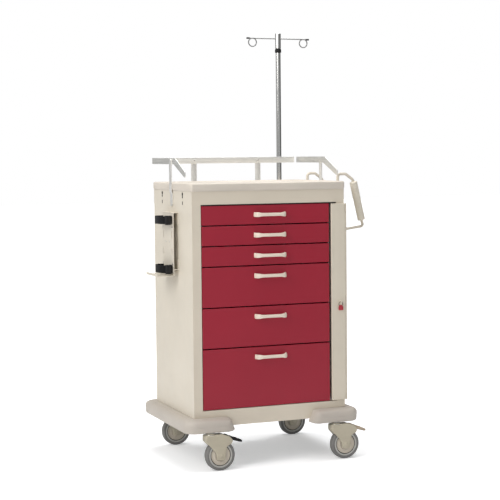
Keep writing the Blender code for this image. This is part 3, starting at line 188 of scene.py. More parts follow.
def bar(start, end, radius, sides=32, chamfer=0.0):
    """A round bar between two points with chamfered ends."""
    span = Vector(end) - Vector(start)
    length = span.length
    profile = [(0.0, radius - chamfer), (chamfer, radius), (length - chamfer, radius), (length, radius - chamfer)]
    if chamfer <= 0.0:
        profile = [(0.0, radius), (length, radius)]
    return turned(start, span, profile, sides)


def rounded_path(corners, radii, steps=10):
    """Replace the inner corners of a polyline by arcs of the given radii."""
    points = [Vector(corners[0])]
    for index in range(1, len(corners) - 1):
        here = Vector(corners[index])
        before = (Vector(corners[index - 1]) - here).normalized()
        after = (Vector(corners[index + 1]) - here).normalized()
        half = before.angle(after) / 2.0
        radius = radii[index - 1]
        setback = radius / math.tan(half)
        middle = (before + after).normalized() * (radius / math.sin(half)) + here
        begin = here + before * setback - middle
        finish = here + after * setback - middle
        for step in range(steps + 1):
            points.append(middle + radius * begin.slerp(finish, step / steps).normalized())
    points.append(Vector(corners[-1]))
    return points


def swept(points, radius, sides=16, closed=False):
    """Sweep a round section along a path without twisting it."""
    rings = []
    normal = None
    count = len(points)
    for index, point in enumerate(points):
        before = points[index - 1] if closed or index else points[0]
        after = points[(index + 1) % count] if closed or index < count - 1 else points[-1]
        tangent = (Vector(after) - Vector(before)).normalized()
        if normal is None:
            helper = Vector((0.0, 1.0, 0.0)) if abs(tangent.y) < 0.9 else Vector((1.0, 0.0, 0.0))
            normal = tangent.cross(helper).normalized()
        normal = (normal - tangent * normal.dot(tangent)).normalized()
        binormal = tangent.cross(normal)
        rings.append([Vector(point) + radius * (math.cos(2 * math.pi * corner / sides) * normal
                                                + math.sin(2 * math.pi * corner / sides) * binormal)
                      for corner in range(sides)])
    return loft(rings, closed=closed)


def squared(value, power):
    """A sine or cosine pushed towards its ends, which flattens a round section."""
    return math.copysign(abs(value) ** power, value)


def block(low, high):
    """A block between two opposite corners; pieces bevel its edges."""
    outline = [(low[0], low[1]), (high[0], low[1]), (high[0], high[1]), (low[0], high[1])]
    return prism(outline, "Z", low[2], high[2])


def screw(centre, direction, radius=0.0035, rise=0.0016):
    """Button-head screw with a socket, standing on a surface."""
    socket = radius * 0.42
    profile = [(-0.0008, radius), (0.0003, radius), (rise * 0.55, radius * 0.88), (rise * 0.88, radius * 0.66),
               (rise, socket * 1.15), (rise * 0.94, socket), (rise * 0.25, socket * 0.96)]
    return turned(centre, direction, profile, 24)


def rounded_rectangle(half_x, half_y, radius, height, steps=8):
    """Points of a rectangle with rounded corners, centred on the cabinet."""
    ring = []
    for sign_x, sign_y, start in ((1, 1, 0.0), (-1, 1, 90.0), (-1, -1, 180.0), (1, -1, 270.0)):
        for step in range(steps + 1):
            angle = math.radians(start + 90.0 * step / steps)
            ring.append((sign_x * (half_x - radius) + radius * math.cos(angle),
                         sign_y * (half_y - radius) + radius * math.sin(angle), height))
    return ring


# ---------------------------------------------------------------- objects
def raw_object(name, solids):
    """An object from one or more solids given in cart coordinates."""
    work = bmesh.new()
    for points, faces in solids:
        corners = [work.verts.new((point[0] + SHIFT, point[1], point[2])) for point in points]
        for face in faces:
            work.faces.new([corners[index] for index in face])
    bmesh.ops.recalc_face_normals(work, faces=work.faces)
    mesh = bpy.data.meshes.new(name)
    work.to_mesh(mesh)
    work.free()
    item = bpy.data.objects.new(name, mesh)
    bpy.context.scene.collection.objects.link(item)
    return item


def settle(item):
    """Keep the result of an object's modifiers as its mesh."""
    bpy.context.view_layer.update()
    result = bpy.data.meshes.new_from_object(item.evaluated_get(bpy.context.evaluated_depsgraph_get()))
    item.modifiers.clear()
    item.data = result
    return item


def bevel(item, width, segments=3):
    """Round the edges of an object that are sharper than BEVEL_ANGLE."""
    modifier = item.modifiers.new("edges", "BEVEL")
    modifier.width = width
    modifier.segments = segments
    modifier.limit_method = "ANGLE"
    modifier.angle_limit = math.radians(BEVEL_ANGLE)
    return settle(item)


def cut(item, solids):
    """Cut solids away from an object."""
    for solid in solids:
        tool = raw_object(item.name + "_tool", [solid])
        modifier = item.modifiers.new("tool", "BOOLEAN")
        modifier.object = tool
        modifier.operation = "DIFFERENCE"
        modifier.solver = "EXACT"
        settle(item)
        bpy.data.objects.remove(tool)
    return item


def shade(item, limit=35.0):
    """Smooth shading with the sharp edges kept sharp."""
    work = bmesh.new()
    work.from_mesh(item.data)
    for face in work.faces:
        face.smooth = True
    for edge in work.edges:
        edge.smooth = len(edge.link_faces) == 2 and edge.calc_face_angle(0.0) < math.radians(limit)
    work.to_mesh(item.data)
    work.free()
    return item


def finished(item, body, material, stands_for=(), limit=35.0):
    """Shade a piece, give it its finish and hang it on its body in place of the nodes it stands for."""
    shade(item, limit)
    item.data.materials.clear()
    item.data.materials.append(material)
    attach(item, body)
    if stands_for:
        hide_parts(*stands_for)
    return item


def piece(name, solids, body, material, stands_for=(), edge=0.0, segments=3, limit=35.0):
    """Build, bevel, finish and hang one piece."""
    item = raw_object(name, solids)
    if edge > 0.0:
        bevel(item, edge, segments)
    return finished(item, body, material, stands_for, limit)


def fixings(name, solids):
    """Bright screws or pins on the cabinet."""
    piece(name, solids, "cabinet", SCREW_STEEL)


# ---------------------------------------------------------------- node materials
def linear(red, green, blue):
    """A display colour from 0 to 255 as linear light."""
    values = []
    for value in (red, green, blue):
        share = value / 255.0
        values.append(share / 12.92 if share <= 0.04045 else ((share + 0.055) / 1.055) ** 2.4)
    return (values[0], values[1], values[2], 1.0)


def node(tree, kind, inputs=None, **settings):
    """Add a node; inputs are values or sockets by name or number."""
    item = tree.nodes.new(kind)
    for key, value in settings.items():
        setattr(item, key, value)
    for key, value in (inputs or {}).items():
        if isinstance(value, bpy.types.NodeSocket):
            tree.links.new(value, item.inputs[key])
        else:
            item.inputs[key].default_value = value
    return item


def scaled(colour, factor):
    """A colour made darker or lighter."""
    return (min(colour[0] * factor, 1.0), min(colour[1] * factor, 1.0), min(colour[2] * factor, 1.0), 1.0)


def mixed(tree, factor, first, second):
    """Mix two colours, given as values or sockets."""
    item = tree.nodes.new("ShaderNodeMix")
    item.data_type = "RGBA"
    for index, value in ((0, factor), (6, first), (7, second)):
        if isinstance(value, bpy.types.NodeSocket):
            tree.links.new(value, item.inputs[index])
        else:
            item.inputs[index].default_value = value
    return item.outputs[2]


def ranged(tree, value, low, high, start=0.0, end=1.0):
    """Map a value to a range."""
    return node(tree, "ShaderNodeMapRange", {"Value": value, "From Min": start, "From Max": end,
                                             "To Min": low, "To Max": high}).outputs["Result"]


def noise(tree, place, scale, detail=3.0, rough=0.5):
    """Noise value from 0 to 1."""
    return node(tree, "ShaderNodeTexNoise", {"Vector": place, "Scale": scale, "Detail": detail,
                                             "Roughness": rough}).outputs["Fac"]


def calculated(tree, operation, first, second):
    """Result of a sum or a product of two values."""
    return node(tree, "ShaderNodeMath", {0: first, 1: second}, operation=operation).outputs[0]


def object_place(tree):
    """Object coordinates."""
    return node(tree, "ShaderNodeTexCoord").outputs["Object"]


def stretched(tree, factors):
    """Object coordinates scaled along each axis."""
    return node(tree, "ShaderNodeMapping", {"Vector": object_place(tree), "Scale": factors}).outputs["Vector"]


def new_material(name, metallic=0.0, specular=0.5, coat=0.0, coat_rough=0.1, sheen=0.0):
    """A principled material with its constant sockets set."""
    material = bpy.data.materials.new(name)
    material.use_nodes = True
    shader = material.node_tree.nodes["Principled BSDF"]
    shader.inputs["Metallic"].default_value = metallic
    shader.inputs["Specular IOR Level"].default_value = specular
    shader.inputs["Coat Weight"].default_value = coat
    shader.inputs["Coat Roughness"].default_value = coat_rough
    shader.inputs["Sheen Weight"].default_value = sheen
    return material, material.node_tree, shader


def dressed(made, tone, rough, height, strength, distance):
    """Connect colour, roughness and a bump height to a new material."""
    material, tree, shader = made
    bump = node(tree, "ShaderNodeBump", {"Height": height, "Strength": strength, "Distance": distance})
    for value, socket in ((tone, "Base Color"), (rough, "Roughness"), (bump.outputs["Normal"], "Normal")):
        tree.links.new(value, shader.inputs[socket])
    return material


def powder_coat(name, colour, rough=0.42, dust=0.1):
    """Baked powder paint: orange peel, faint mottling, fine pits and rubbed patches low down."""
    made = new_material(name, specular=0.42)
    tree = made[1]
    colour = linear(*colour)
    place = object_place(tree)
    cloud = noise(tree, place, 3.2, 4.0, 0.55)
    speck = noise(tree, place, 420.0, 2.0, 0.6)
    tone = mixed(tree, ranged(tree, cloud, 0.0, 1.0, 0.3, 0.7), scaled(colour, 0.955), scaled(colour, 1.035))
    tone = mixed(tree, ranged(tree, speck, 0.0, 0.1, 0.56, 0.72), tone, scaled(colour, 0.72))
    height = node(tree, "ShaderNodeSeparateXYZ", {"Vector": place}).outputs["Z"]
    smear = noise(tree, stretched(tree, (1.0, 1.0, 3.0)), 9.0, 5.0, 0.6)
    rubbed = calculated(tree, "MULTIPLY", ranged(tree, height, 1.0, 0.0, 0.16, 0.55),
                        ranged(tree, smear, 0.0, dust, 0.45, 0.75))
    tone = mixed(tree, rubbed, tone, scaled(colour, 0.6))
    gloss = ranged(tree, noise(tree, place, 14.0, 4.0), rough - 0.06, rough + 0.08, 0.3, 0.7)
    return dressed(made, tone, gloss, noise(tree, place, 330.0, 2.0, 0.45), 0.55, 0.0001)


def moulded_plastic(name, colour, rough=0.5, grain=0.00012, scale=900.0, specular=0.45, coat=0.0):
    """Moulded plastic: pebble grain, soft flow marks and light scuffs."""
    made = new_material(name, specular=specular, coat=coat, coat_rough=0.25)
    tree = made[1]
    colour = linear(*colour)
    place = object_place(tree)
    flow = noise(tree, stretched(tree, (1.0, 1.0, 2.2)), 5.0, 3.0, 0.5)
    tone = mixed(tree, ranged(tree, flow, 0.0, 1.0, 0.3, 0.7), scaled(colour, 0.94), scaled(colour, 1.05))
    scuff = noise(tree, stretched(tree, (30.0, 30.0, 6.0)), 3.0, 6.0, 0.7)
    tone = mixed(tree, ranged(tree, scuff, 0.0, 0.22, 0.6, 0.78), tone, scaled(colour, 1.3))
    cells = node(tree, "ShaderNodeTexVoronoi", {"Vector": place, "Scale": scale}).outputs["Distance"]
    pebble = calculated(tree, "ADD", cells, noise(tree, place, scale * 0.6, 2.0))
    return dressed(made, tone, ranged(tree, scuff, rough - 0.05, rough + 0.14, 0.35, 0.75), pebble, 0.5, grain)


def brushed_steel(name, colour, stretch, rough):
    """Brushed metal: fine lines along one direction in tone, roughness and height."""
    made = new_material(name, metallic=1.0)
    tree = made[1]
    colour = linear(*colour)
    lines = noise(tree, stretched(tree, stretch), 1.0, 4.0, 0.7)
    cloud = noise(tree, object_place(tree), 7.0, 3.0)
    tone = mixed(tree, ranged(tree, lines, 0.0, 1.0, 0.3, 0.7), scaled(colour, 0.86), scaled(colour, 1.08))
    tone = mixed(tree, ranged(tree, cloud, 0.0, 0.35, 0.45, 0.75), tone, scaled(colour, 0.82))
    return dressed(made, tone, ranged(tree, lines, rough - 0.07, rough + 0.12, 0.3, 0.7), lines, 0.4, 0.00003)


def chrome(name, colour, rough):
    """Polished plating with faint wipe marks."""
    made = new_material(name, metallic=1.0)
    tree = made[1]
    colour = linear(*colour)
    wipes = noise(tree, stretched(tree, (40.0, 40.0, 4.0)), 1.0, 5.0, 0.65)
    tone = mixed(tree, ranged(tree, wipes, 0.0, 1.0, 0.35, 0.7), scaled(colour, 0.93), colour)
    gloss = ranged(tree, wipes, rough - 0.04, rough + 0.08, 0.35, 0.75)
    return dressed(made, tone, gloss, noise(tree, object_place(tree), 260.0, 2.0), 0.15, 0.00002)


def galvanised(name, colour, rough=0.42):
    """Zinc-plated sheet with soft spangles."""
    made = new_material(name, metallic=0.85)
    tree = made[1]
    colour = linear(*colour)
    place = object_place(tree)
    spangle = node(tree, "ShaderNodeTexVoronoi", {"Vector": place, "Scale": 60.0, "Randomness": 1.0})
    value = node(tree, "ShaderNodeSeparateColor", {"Color": spangle.outputs["Color"]}).outputs[0]
    cloud = noise(tree, place, 10.0, 4.0)
    tone = mixed(tree, ranged(tree, value, 0.0, 1.0), scaled(colour, 0.9), scaled(colour, 1.08))
    tone = mixed(tree, ranged(tree, cloud, 0.0, 0.5, 0.4, 0.8), tone, scaled(colour, 0.8))
    return dressed(made, tone, ranged(tree, value, rough - 0.08, rough + 0.1), noise(tree, place, 500.0, 2.0),
                   0.3, 0.00004)


def tyre_rubber(name, colour, dust=0.5):
    """Matt rubber with dust in the grain and a worn tread."""
    made = new_material(name, specular=0.3)
    tree = made[1]
    colour = linear(*colour)
    place = object_place(tree)
    smear = noise(tree, place, 26.0, 5.0, 0.65)
    fine = noise(tree, place, 700.0, 2.0, 0.6)
    tone = mixed(tree, ranged(tree, smear, 0.0, dust, 0.42, 0.75), colour, scaled(colour, 1.45))
    tone = mixed(tree, ranged(tree, fine, 0.0, 0.25, 0.5, 0.75), tone, scaled(colour, 0.6))
    return dressed(made, tone, ranged(tree, smear, 0.6, 0.8, 0.35, 0.7), fine, 0.6, 0.00012)


def webbing(name, colour):
    """Woven strap: diagonal twill ribs, with painted highlights on the thread crowns and painted shade between them."""
    made = new_material(name, specular=0.22, sheen=0.08)
    tree = made[1]
    colour = linear(*colour)
    place = object_place(tree)
    parts = node(tree, "ShaderNodeSeparateXYZ", {"Vector": place})
    run = calculated(tree, "ADD", parts.outputs["X"], parts.outputs["Y"])
    spun = node(tree, "ShaderNodeCombineXYZ", {"X": run, "Y": parts.outputs["Z"]}).outputs["Vector"]
    threads = []
    for scale, distortion, direction in ((700.0 / 3.1, 0.6, "DIAGONAL"), (420.0 / 3.1, 0.3, "Y")):
        threads.append(node(tree, "ShaderNodeTexWave", {"Vector": spun, "Scale": scale, "Distortion": distortion},
                            wave_type="BANDS", bands_direction=direction).outputs["Fac"])
    weave = calculated(tree, "MULTIPLY", threads[0], threads[1])
    fuzz = noise(tree, place, 900.0, 3.0)
    # painted light: the weave height also sets the colour, lighter on the crowns as painted highlight and darker
    # between them as painted shade
    tone = mixed(tree, ranged(tree, weave, 0.0, 1.0), scaled(colour, 0.55), scaled(colour, 1.9))
    tone = mixed(tree, ranged(tree, fuzz, 0.0, 0.3, 0.5, 0.8), tone, scaled(colour, 2.4))
    return dressed(made, tone, ranged(tree, weave, 0.82, 0.62), weave, 0.8, 0.0004)


CREAM_PAINT = powder_coat("cream_powder_coat", (219, 211, 196))
TAN_PAINT = powder_coat("tan_powder_coat", (217, 207, 190))
BAR_PAINT = powder_coat("lock_bar_powder_coat", (219, 210, 193))
RED_PAINT = powder_coat("red_powder_coat", (157, 26, 48), rough=0.36, dust=0.05)
COVER_PLASTIC = moulded_plastic("cover_plastic", (216, 207, 195), rough=0.42, grain=0.00007)
PULL_PLASTIC = moulded_plastic("pull_plastic", (233, 220, 204), rough=0.4, grain=0.00004)
GRIP_PLASTIC = moulded_plastic("grip_vinyl", (230, 222, 206), rough=0.55, grain=0.0001)
HANDLE_COAT = moulded_plastic("handle_coating", (226, 217, 202), rough=0.35, grain=0.00003)
BUMPER_PLASTIC = moulded_plastic("bumper_plastic", (191, 183, 173), rough=0.46, grain=0.00016, scale=700.0)
FORK_PAINT = powder_coat("caster_coat", (190, 182, 162), rough=0.46, dust=0.3)
HUB_PLASTIC = moulded_plastic("hub_plastic", (201, 192, 177), rough=0.5, grain=0.00005)
RING_PLASTIC = moulded_plastic("wheel_ring_plastic", (186, 185, 180), rough=0.5, grain=0.00005)
TYRE_RUBBER = tyre_rubber("tyre_rubber", (122, 121, 119))
BLACK_PLASTIC = moulded_plastic("black_plastic", (24, 23, 24), rough=0.46, specular=0.32, grain=0.00008)
# black for the dark wheel groove, also used as painted shade in the panel holes and along the top edge of the drawer
# opening
DARK_GROOVE_AND_SHADE = tyre_rubber("black_groove_and_painted_shade", (26, 26, 27), dust=0.2)
BEIGE_PEDAL = moulded_plastic("beige_pedal_plastic", (178, 162, 142), rough=0.5)
WEBBING = webbing("black_webbing", (19, 19, 21))
RAIL_STEEL = brushed_steel("rail_steel", (240, 239, 234), (420.0, 6.0, 420.0), rough=0.4)
BACK_RAIL_STEEL = brushed_steel("back_rail_steel", (248, 247, 243), (6.0, 420.0, 420.0), rough=0.5)
POST_STEEL = brushed_steel("post_steel", (246, 245, 241), (420.0, 420.0, 6.0), rough=0.5)
CHROME = chrome("pole_chrome", (206, 206, 204), rough=0.16)
ROD_CHROME = chrome("rod_chrome", (206, 206, 204), rough=0.16)
WIRE_STEEL = chrome("hook_steel", (150, 150, 149), rough=0.34)
SCREW_STEEL = chrome("screw_steel", (205, 203, 198), rough=0.26)
ZINC = galvanised("zinc_sheet", (196, 196, 193))
TRAY_ZINC = galvanised("tray_sheet", (206, 205, 201), rough=0.38)
SEAL_RED = moulded_plastic("seal_plastic", (176, 44, 58), rough=0.32, grain=0.00003, coat=0.2)
SEAL_WIRE = moulded_plastic("seal_wire", (64, 34, 34), rough=0.45, grain=0.00002)


# ---------------------------------------------------------------- CAD nodes that stay
def keep(name, material, edge=0.0):
    """Give a CAD node its finish, and round its folded edges when edge is above zero."""
    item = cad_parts[name]
    for slot in item.material_slots:
        slot.link = "OBJECT"
        slot.material = material
    if edge > 0.0:
        weld = item.modifiers.new("weld", "WELD")
        weld.merge_threshold = 0.00002
        soft = item.modifiers.new("edges", "BEVEL")
        soft.width = edge
        soft.segments = 2
        soft.limit_method = "ANGLE"
        soft.angle_limit = math.radians(40.0)
        item.modifiers.new("normals", "WEIGHTED_NORMAL").keep_sharp = True


def finish_kept_nodes():
    """Finishes for every CAD node whose shape is shown as it is."""
    for name in ("left_side_panel", "right_side_panel", "back_panel"):
        keep(name, CREAM_PAINT)
    keep("front_frame", TAN_PAINT)
    keep("pole_bracket", CREAM_PAINT)
    keep("oxygen_bracket", CREAM_PAINT)
    keep("lock_bar", BAR_PAINT)
    keep("lock_bar_hinge", BAR_PAINT)
    for name in ("base_pan", "left_slide_rack", "right_slide_rack"):
        keep(name, ZINC)
    for number in range(1, 7):
        keep("drawer_%d_front" % number, RED_PAINT, 0.0006)
        keep("drawer_%d_tray" % number, TRAY_ZINC)


# ---------------------------------------------------------------- casters
def wheel(label, side, end):
    """Tyre with rounded shoulders, a lighter side ring and a moulded hub with a bearing boss."""
    body = "wheel_" + label
    centre = (side * CASTER_X + CASTER_TRAIL, end * CASTER_Y, WHEEL_RADIUS)
    axis = (0.0, 1.0, 0.0)

    def mirrored(half_profile):
        return half_profile + [(-along, radius) for along, radius in reversed(half_profile)]

    tyre = mirrored([(-0.013, 0.05), (-0.0152, 0.0506), (-0.0158, 0.052), (-0.0159, 0.0545), (-0.0155, 0.057),
                     (-0.0144, 0.0592), (-0.0124, 0.0608), (-0.0095, 0.0617), (-0.005, 0.06195), (-0.001, 0.062)])
    ring = mirrored([(-0.011, 0.043), (-0.0136, 0.0433), (-0.0145, 0.044), (-0.0148, 0.0452), (-0.0148, 0.0486),
                     (-0.0144, 0.0496), (-0.013, 0.0502)])
    hub = mirrored([(-0.0152, 0.0058), (-0.0152, 0.0112), (-0.0146, 0.0122), (-0.0132, 0.013), (-0.0122, 0.0144),
                    (-0.012, 0.023), (-0.0123, 0.024), (-0.0131, 0.0246), (-0.0131, 0.0262), (-0.0123, 0.0268),
                    (-0.0118, 0.0278), (-0.0117, 0.036), (-0.0123, 0.0374), (-0.0134, 0.0382), (-0.0137, 0.0392),
                    (-0.013, 0.04), (-0.011, 0.0403)])
    groove = mirrored([(-0.01, 0.0402), (-0.0119, 0.0404), (-0.0119, 0.0429), (-0.01, 0.0431)])
    for name, profile, sides, material, slot in (
            ("wheel_groove_", groove, 96, DARK_GROOVE_AND_SHADE, "grey_wheel"), ("tyre_", tyre, 96, TYRE_RUBBER, "grey_wheel"),
            ("wheel_ring_", ring, 96, RING_PLASTIC, "grey_wheel"),
            ("wheel_hub_", hub, 72, HUB_PLASTIC, "cream_plastic")):
        piece(name + label, [turned(centre, axis, profile, sides, bored=True)], body, material,
              ["caster_%s_wheel" % label])


def fork(label, side, end, braked):
    """Smooth caster hood with two legs, bolt heads, bearing cups and a shield."""
    body = "caster_" + label
    x, y = side * CASTER_X, end * CASTER_Y
    corners = [
        (-0.027, 0.148), (-0.0268, 0.122), (-0.002, 0.096), (0.019, 0.068), (0.0186, 0.0428), (0.0574, 0.0428),
        (0.0574, 0.068), (0.0625, 0.0985), (0.084, 0.108), (0.09, 0.122), (0.076, 0.1375), (0.047, 0.148),
    ]
    radii = [0.007, 0.016, 0.02, 0.016, 0.024, 0.024, 0.016, 0.016, 0.012, 0.012, 0.016, 0.016]
    outline = [(x + along, height) for along, height in rounded(corners, radii, 6)]
    shell = raw_object("fork_" + label, [prism(outline, "Y", y - FORK_HALF, y + FORK_HALF)])
    bevel(shell, 0.0052, 5)
    axle = (x + CASTER_TRAIL, y, WHEEL_RADIUS)
    cuts = [bar((axle[0], y - SLOT_HALF, axle[2]), (axle[0], y + SLOT_HALF, axle[2]), WHEEL_RADIUS + 0.004, 72)]
    if braked:
        cuts.append(block((x + PEDAL_X - 0.01, y - SLOT_HALF, WHEEL_RADIUS + 0.045),
                          (x + 0.11, y + SLOT_HALF, FORK_TOP + 0.01)))
    cut(shell, cuts)
    finished(shell, body, FORK_PAINT, ["caster_%s_fork" % label], 32.0)
    bolts = []
    for face in (-1, 1):
        out = (0.0, face, 0.0)
        base = (axle[0], y + face * (FORK_HALF - 0.0006), axle[2])
        bolts.append(turned(base, out, [(0.0, 0.0102), (0.0008, 0.0104), (0.0014, 0.0098), (0.0015, 0.0078),
                                        (0.0022, 0.0074), (0.0028, 0.0062), (0.003, 0.003)], 36))
        if braked:
            pin = (x + PEDAL_X, y + face * (FORK_HALF - 0.001), PEDAL_Z)
            bolts.append(turned(pin, out, [(0.0, 0.0034), (0.0012, 0.0034), (0.0018, 0.0026), (0.002, 0.001)], 24))
    bolts.append(bar((axle[0], y - FORK_HALF + 0.002, axle[2]), (axle[0], y + FORK_HALF - 0.002, axle[2]), 0.005))
    piece("fork_bolts_" + label, bolts, body, FORK_PAINT, ["caster_%s_fork" % label])
    top = (x, y, FORK_TOP - 0.001)
    cup = [(0.0, 0.0225), (0.0012, 0.0228), (0.0022, 0.0222)]
    piece("bearing_cup_" + label, [turned(top, (0, 0, 1), cup, 48),
                                   bar((x, y, FORK_TOP), (x, y, 0.1712), 0.008, 32)],
          body, SCREW_STEEL, ["caster_%s_fork" % label])
    seal = [(0.0021, 0.0185), (0.0026, 0.0196), (0.0042, 0.0196), (0.0048, 0.0185)]
    piece("bearing_seal_" + label, [turned(top, (0, 0, 1), seal, 48)], body, FORK_PAINT,
          ["caster_%s_fork" % label])


def pedal(label, side, end, material):
    """Brake pedal with a ribbed tread that narrows to its tip."""
    body = "pedal_" + label
    x, y = side * CASTER_X + PEDAL_X, end * CASTER_Y
    stations = [(-0.0052, 0.0015, 0.0068, 0.0148), (-0.003, 0.0, 0.0118, 0.0153), (0.006, -0.001, 0.0145, 0.0154),
                (0.018, -0.0066, 0.013, 0.0154), (0.034, -0.0145, 0.0126, 0.0152), (0.05, -0.0196, 0.0126, 0.0147),
                (0.064, -0.024, 0.0118, 0.0136), (0.0715, -0.0262, 0.0092, 0.0108), (0.0748, -0.0278, 0.004, 0.0056)]
    rings = []
    for along, middle, thick, half in stations:
        ring = []
        for step in range(24):
            angle = 2.0 * math.pi * step / 24
            across = squared(math.cos(angle), 0.45) * half
            rise = squared(math.sin(angle), 0.7) * thick / 2.0
            ring.append((x + along, y + across, PEDAL_Z + middle + rise))
        rings.append(ring)
    ribs = []
    for along, height in ((0.025, -0.0034), (0.033, -0.0074), (0.041, -0.0101), (0.049, -0.0127)):
        ribs.append(swept([Vector((x + along, y - 0.0105, PEDAL_Z + height)),
                           Vector((x + along, y + 0.0105, PEDAL_Z + height))], 0.0013, 10))
    pin = bar((x, y - FORK_HALF + 0.002, PEDAL_Z), (x, y + FORK_HALF - 0.002, PEDAL_Z), 0.003, 24)
    piece("pedal_tread_" + label, [loft(rings)] + ribs + [pin], body, material, ["brake_pedal_" + label],
          limit=50)


def build_casters():
    """Four casters; the front ones have a pedal."""
    for label, side, end in CORNERS:
        wheel(label, side, end)
        fork(label, side, end, end < 0)
    pedal("fl", -1, -1, BLACK_PLASTIC)
    pedal("fr", 1, -1, BEIGE_PEDAL)


# ---------------------------------------------------------------- bumpers
def bumper_section(low, high, depth):
    """Outer section of the bumper as (outward distance, height): flat shoulder, step line, rolled face."""
    section = [(0.0, low), (0.0, high), (0.018, high), (0.0232, high - 0.0002), (0.0242, high - 0.0012),
               (0.0262, high - 0.0014)]
    for step in range(1, 9):
        angle = math.radians(90.0 - 90.0 * step / 8.0)
        section.append((depth - 0.024 + 0.024 * math.cos(angle), high - 0.0214 + 0.02 * math.sin(angle)))
    section += [(depth - 0.0002, high - 0.03), (depth - 0.0012, high - 0.0316), (depth - 0.0014, low + 0.012)]
    for step in range(1, 5):
        angle = math.radians(-90.0 * step / 4.0)
        section.append((depth - 0.0114 + 0.01 * math.cos(angle), low + 0.01 + 0.01 * math.sin(angle)))
    return section


def bumper_sweep(side, section, wrap, rounding, gap):
    """Sweep a section around the front corner, the side and the rear corner of the cabinet."""
    middle = (BUMPER_LOW + BUMPER_HIGH) / 2.0
    rings = []

    def ring_at(origin, outward, reach, tall, lean=0.0):
        ring = []
        for distance, height in section:
            out = max(distance * reach, gap)
            inset = side * lean * (height - BUMPER_LOW) / (BUMPER_HIGH - BUMPER_LOW)
            ring.append((origin[0] + outward[0] * out + inset, origin[1] + outward[1] * out,
                         middle + (height - middle) * tall))
        return ring

    ends = [(1.0, 1.0, 1.0)]
    if rounding > 0.0:
        ends = []
        for step in range(9):
            turn = math.radians(90.0 * step / 8.0)
            ends.append((1.0 - math.cos(turn), 0.16 + 0.84 * math.sin(turn) ** 0.8, 0.74 + 0.26 * math.sin(turn)))
    for along, reach, tall in ends:
        rings.append(ring_at((side * (SIDE - wrap + along * rounding), FRONT), (0.0, -1.0), reach, tall,
                             0.018 * (1.0 - along)))
    for corner_y, start, finish in ((FRONT, -90.0, 0.0), (REAR, 0.0, 90.0)):
        for step in range(13):
            angle = math.radians(start + (finish - start) * step / 12.0)
            rings.append(ring_at((side * SIDE, corner_y), (side * math.cos(angle), math.sin(angle)), 1.0, 1.0))
    for along, reach, tall in reversed(ends):
        rings.append(ring_at((side * (SIDE - wrap + along * rounding), REAR), (0.0, 1.0), reach, tall,
                             0.018 * (1.0 - along)))
    return loft(rings)


def build_bumpers():
    """Two hollow bumpers that wrap around the corners."""
    for name, side in (("left_bumper", -1), ("right_bumper", 1)):
        outside = bumper_sweep(side, bumper_section(BUMPER_LOW, BUMPER_HIGH, BUMPER_PROUD), BUMPER_WRAP, 0.042, 0.0004)
        inside = bumper_sweep(side, bumper_section(BUMPER_LOW - 0.02, BUMPER_HIGH - 0.005, BUMPER_PROUD - 0.005),
                              BUMPER_WRAP - 0.04, 0.0, 0.0001)
        shell = raw_object(name + "_shell", [outside])
        cut(shell, [inside])
        finished(shell, "cabinet", BUMPER_PLASTIC, [name], 28.0)


# ---------------------------------------------------------------- cover, pulls and lock bar details
def build_cover():
    """Moulded top: a recessed foot line, rolled edge, flat rim and a sunken work surface."""
    half_x, half_y = SIDE + COVER_OVERHANG, REAR + COVER_OVERHANG
    low = CABINET_TOP + TOUCH
    corner = 0.01
    outer = [(0.0016, low), (0.0012, low + 0.0008), (0.0012, low + 0.0046), (0.0003, low + 0.0054), (0.0, low + 0.0064),
             (0.0, COVER_TOP - 0.0075)]
    for step in range(1, 7):
        angle = math.radians(90.0 * step / 6.0)
        outer.append((0.007 * (1.0 - math.cos(angle)), COVER_TOP - 0.007 + 0.007 * math.sin(angle)))
    outer += [(0.015, COVER_TOP), (0.0165, COVER_TOP - 0.0003), (0.0176, COVER_TOP - 0.0012),
              (0.02, COVER_TOP - 0.0046), (0.0212, COVER_TOP - 0.0056), (0.023, COVER_TOP - 0.006)]
    rings = [rounded_rectangle(half_x - 0.005, half_y - 0.005, corner - 0.005, COVER_TOP - 0.011),
             rounded_rectangle(half_x - 0.005, half_y - 0.005, corner - 0.005, low)]
    rings += [rounded_rectangle(half_x - inset, half_y - inset, max(corner - 0.3 * inset, 0.006), height)
              for inset, height in outer]
    piece("cover_moulding", [loft(rings)], "cabinet", COVER_PLASTIC, ["top_cover"], limit=40)


def pull(number, middle_z):
    """Bowed pull with broad rounded feet and a slimmer middle."""
    half = 0.07
    stations = []
    steps = 40
    for step in range(steps + 1):
        share = -1.0 + 2.0 * step / steps
        side = abs(share)
        out = (1.0 - side ** 7.0) ** 0.42 if side < 1.0 else 0.0
        waist = 0.0134 + 0.0062 / (1.0 + math.exp(-(side - 0.74) * 20.0))
        stations.append((share * (half - 0.0035), out * (PULL_REACH - 0.0036), waist, 0.0072 - 0.0006 * (1 - side)))
    rings = []
    for index, (along, out, tall, thick) in enumerate(stations):
        before, after = stations[max(index - 1, 0)], stations[min(index + 1, steps)]
        tangent = Vector((after[0] - before[0], after[1] - before[1]))
        if index in (0, steps):
            tangent = Vector((0.0, 1.0 if index == 0 else -1.0))
        tangent.normalize()
        across = Vector((tangent.y, -tangent.x)) * thick / 2.0
        ring = []
        for corner in range(20):
            angle = 2.0 * math.pi * corner / 20
            flat = squared(math.cos(angle), 0.6)
            rise = squared(math.sin(angle), 0.75) * tall / 2.0
            ring.append((along + across.x * flat, FRONT - 0.0003 - out - across.y * flat, middle_z + rise))
        rings.append(ring)
    piece("pull_%d" % number, [loft(rings)], "drawer_%d" % number, PULL_PLASTIC,
          ["drawer_%d_pull" % number], limit=50)


def build_pulls():
    """One pull in the middle of the top unit of each drawer, from the top drawer down."""
    top = OPENING_TOP
    for number, units in enumerate(DRAWER_UNITS, start=1):
        pull(number, top - DRAWER_UNIT / 2.0)
        top -= units * DRAWER_UNIT


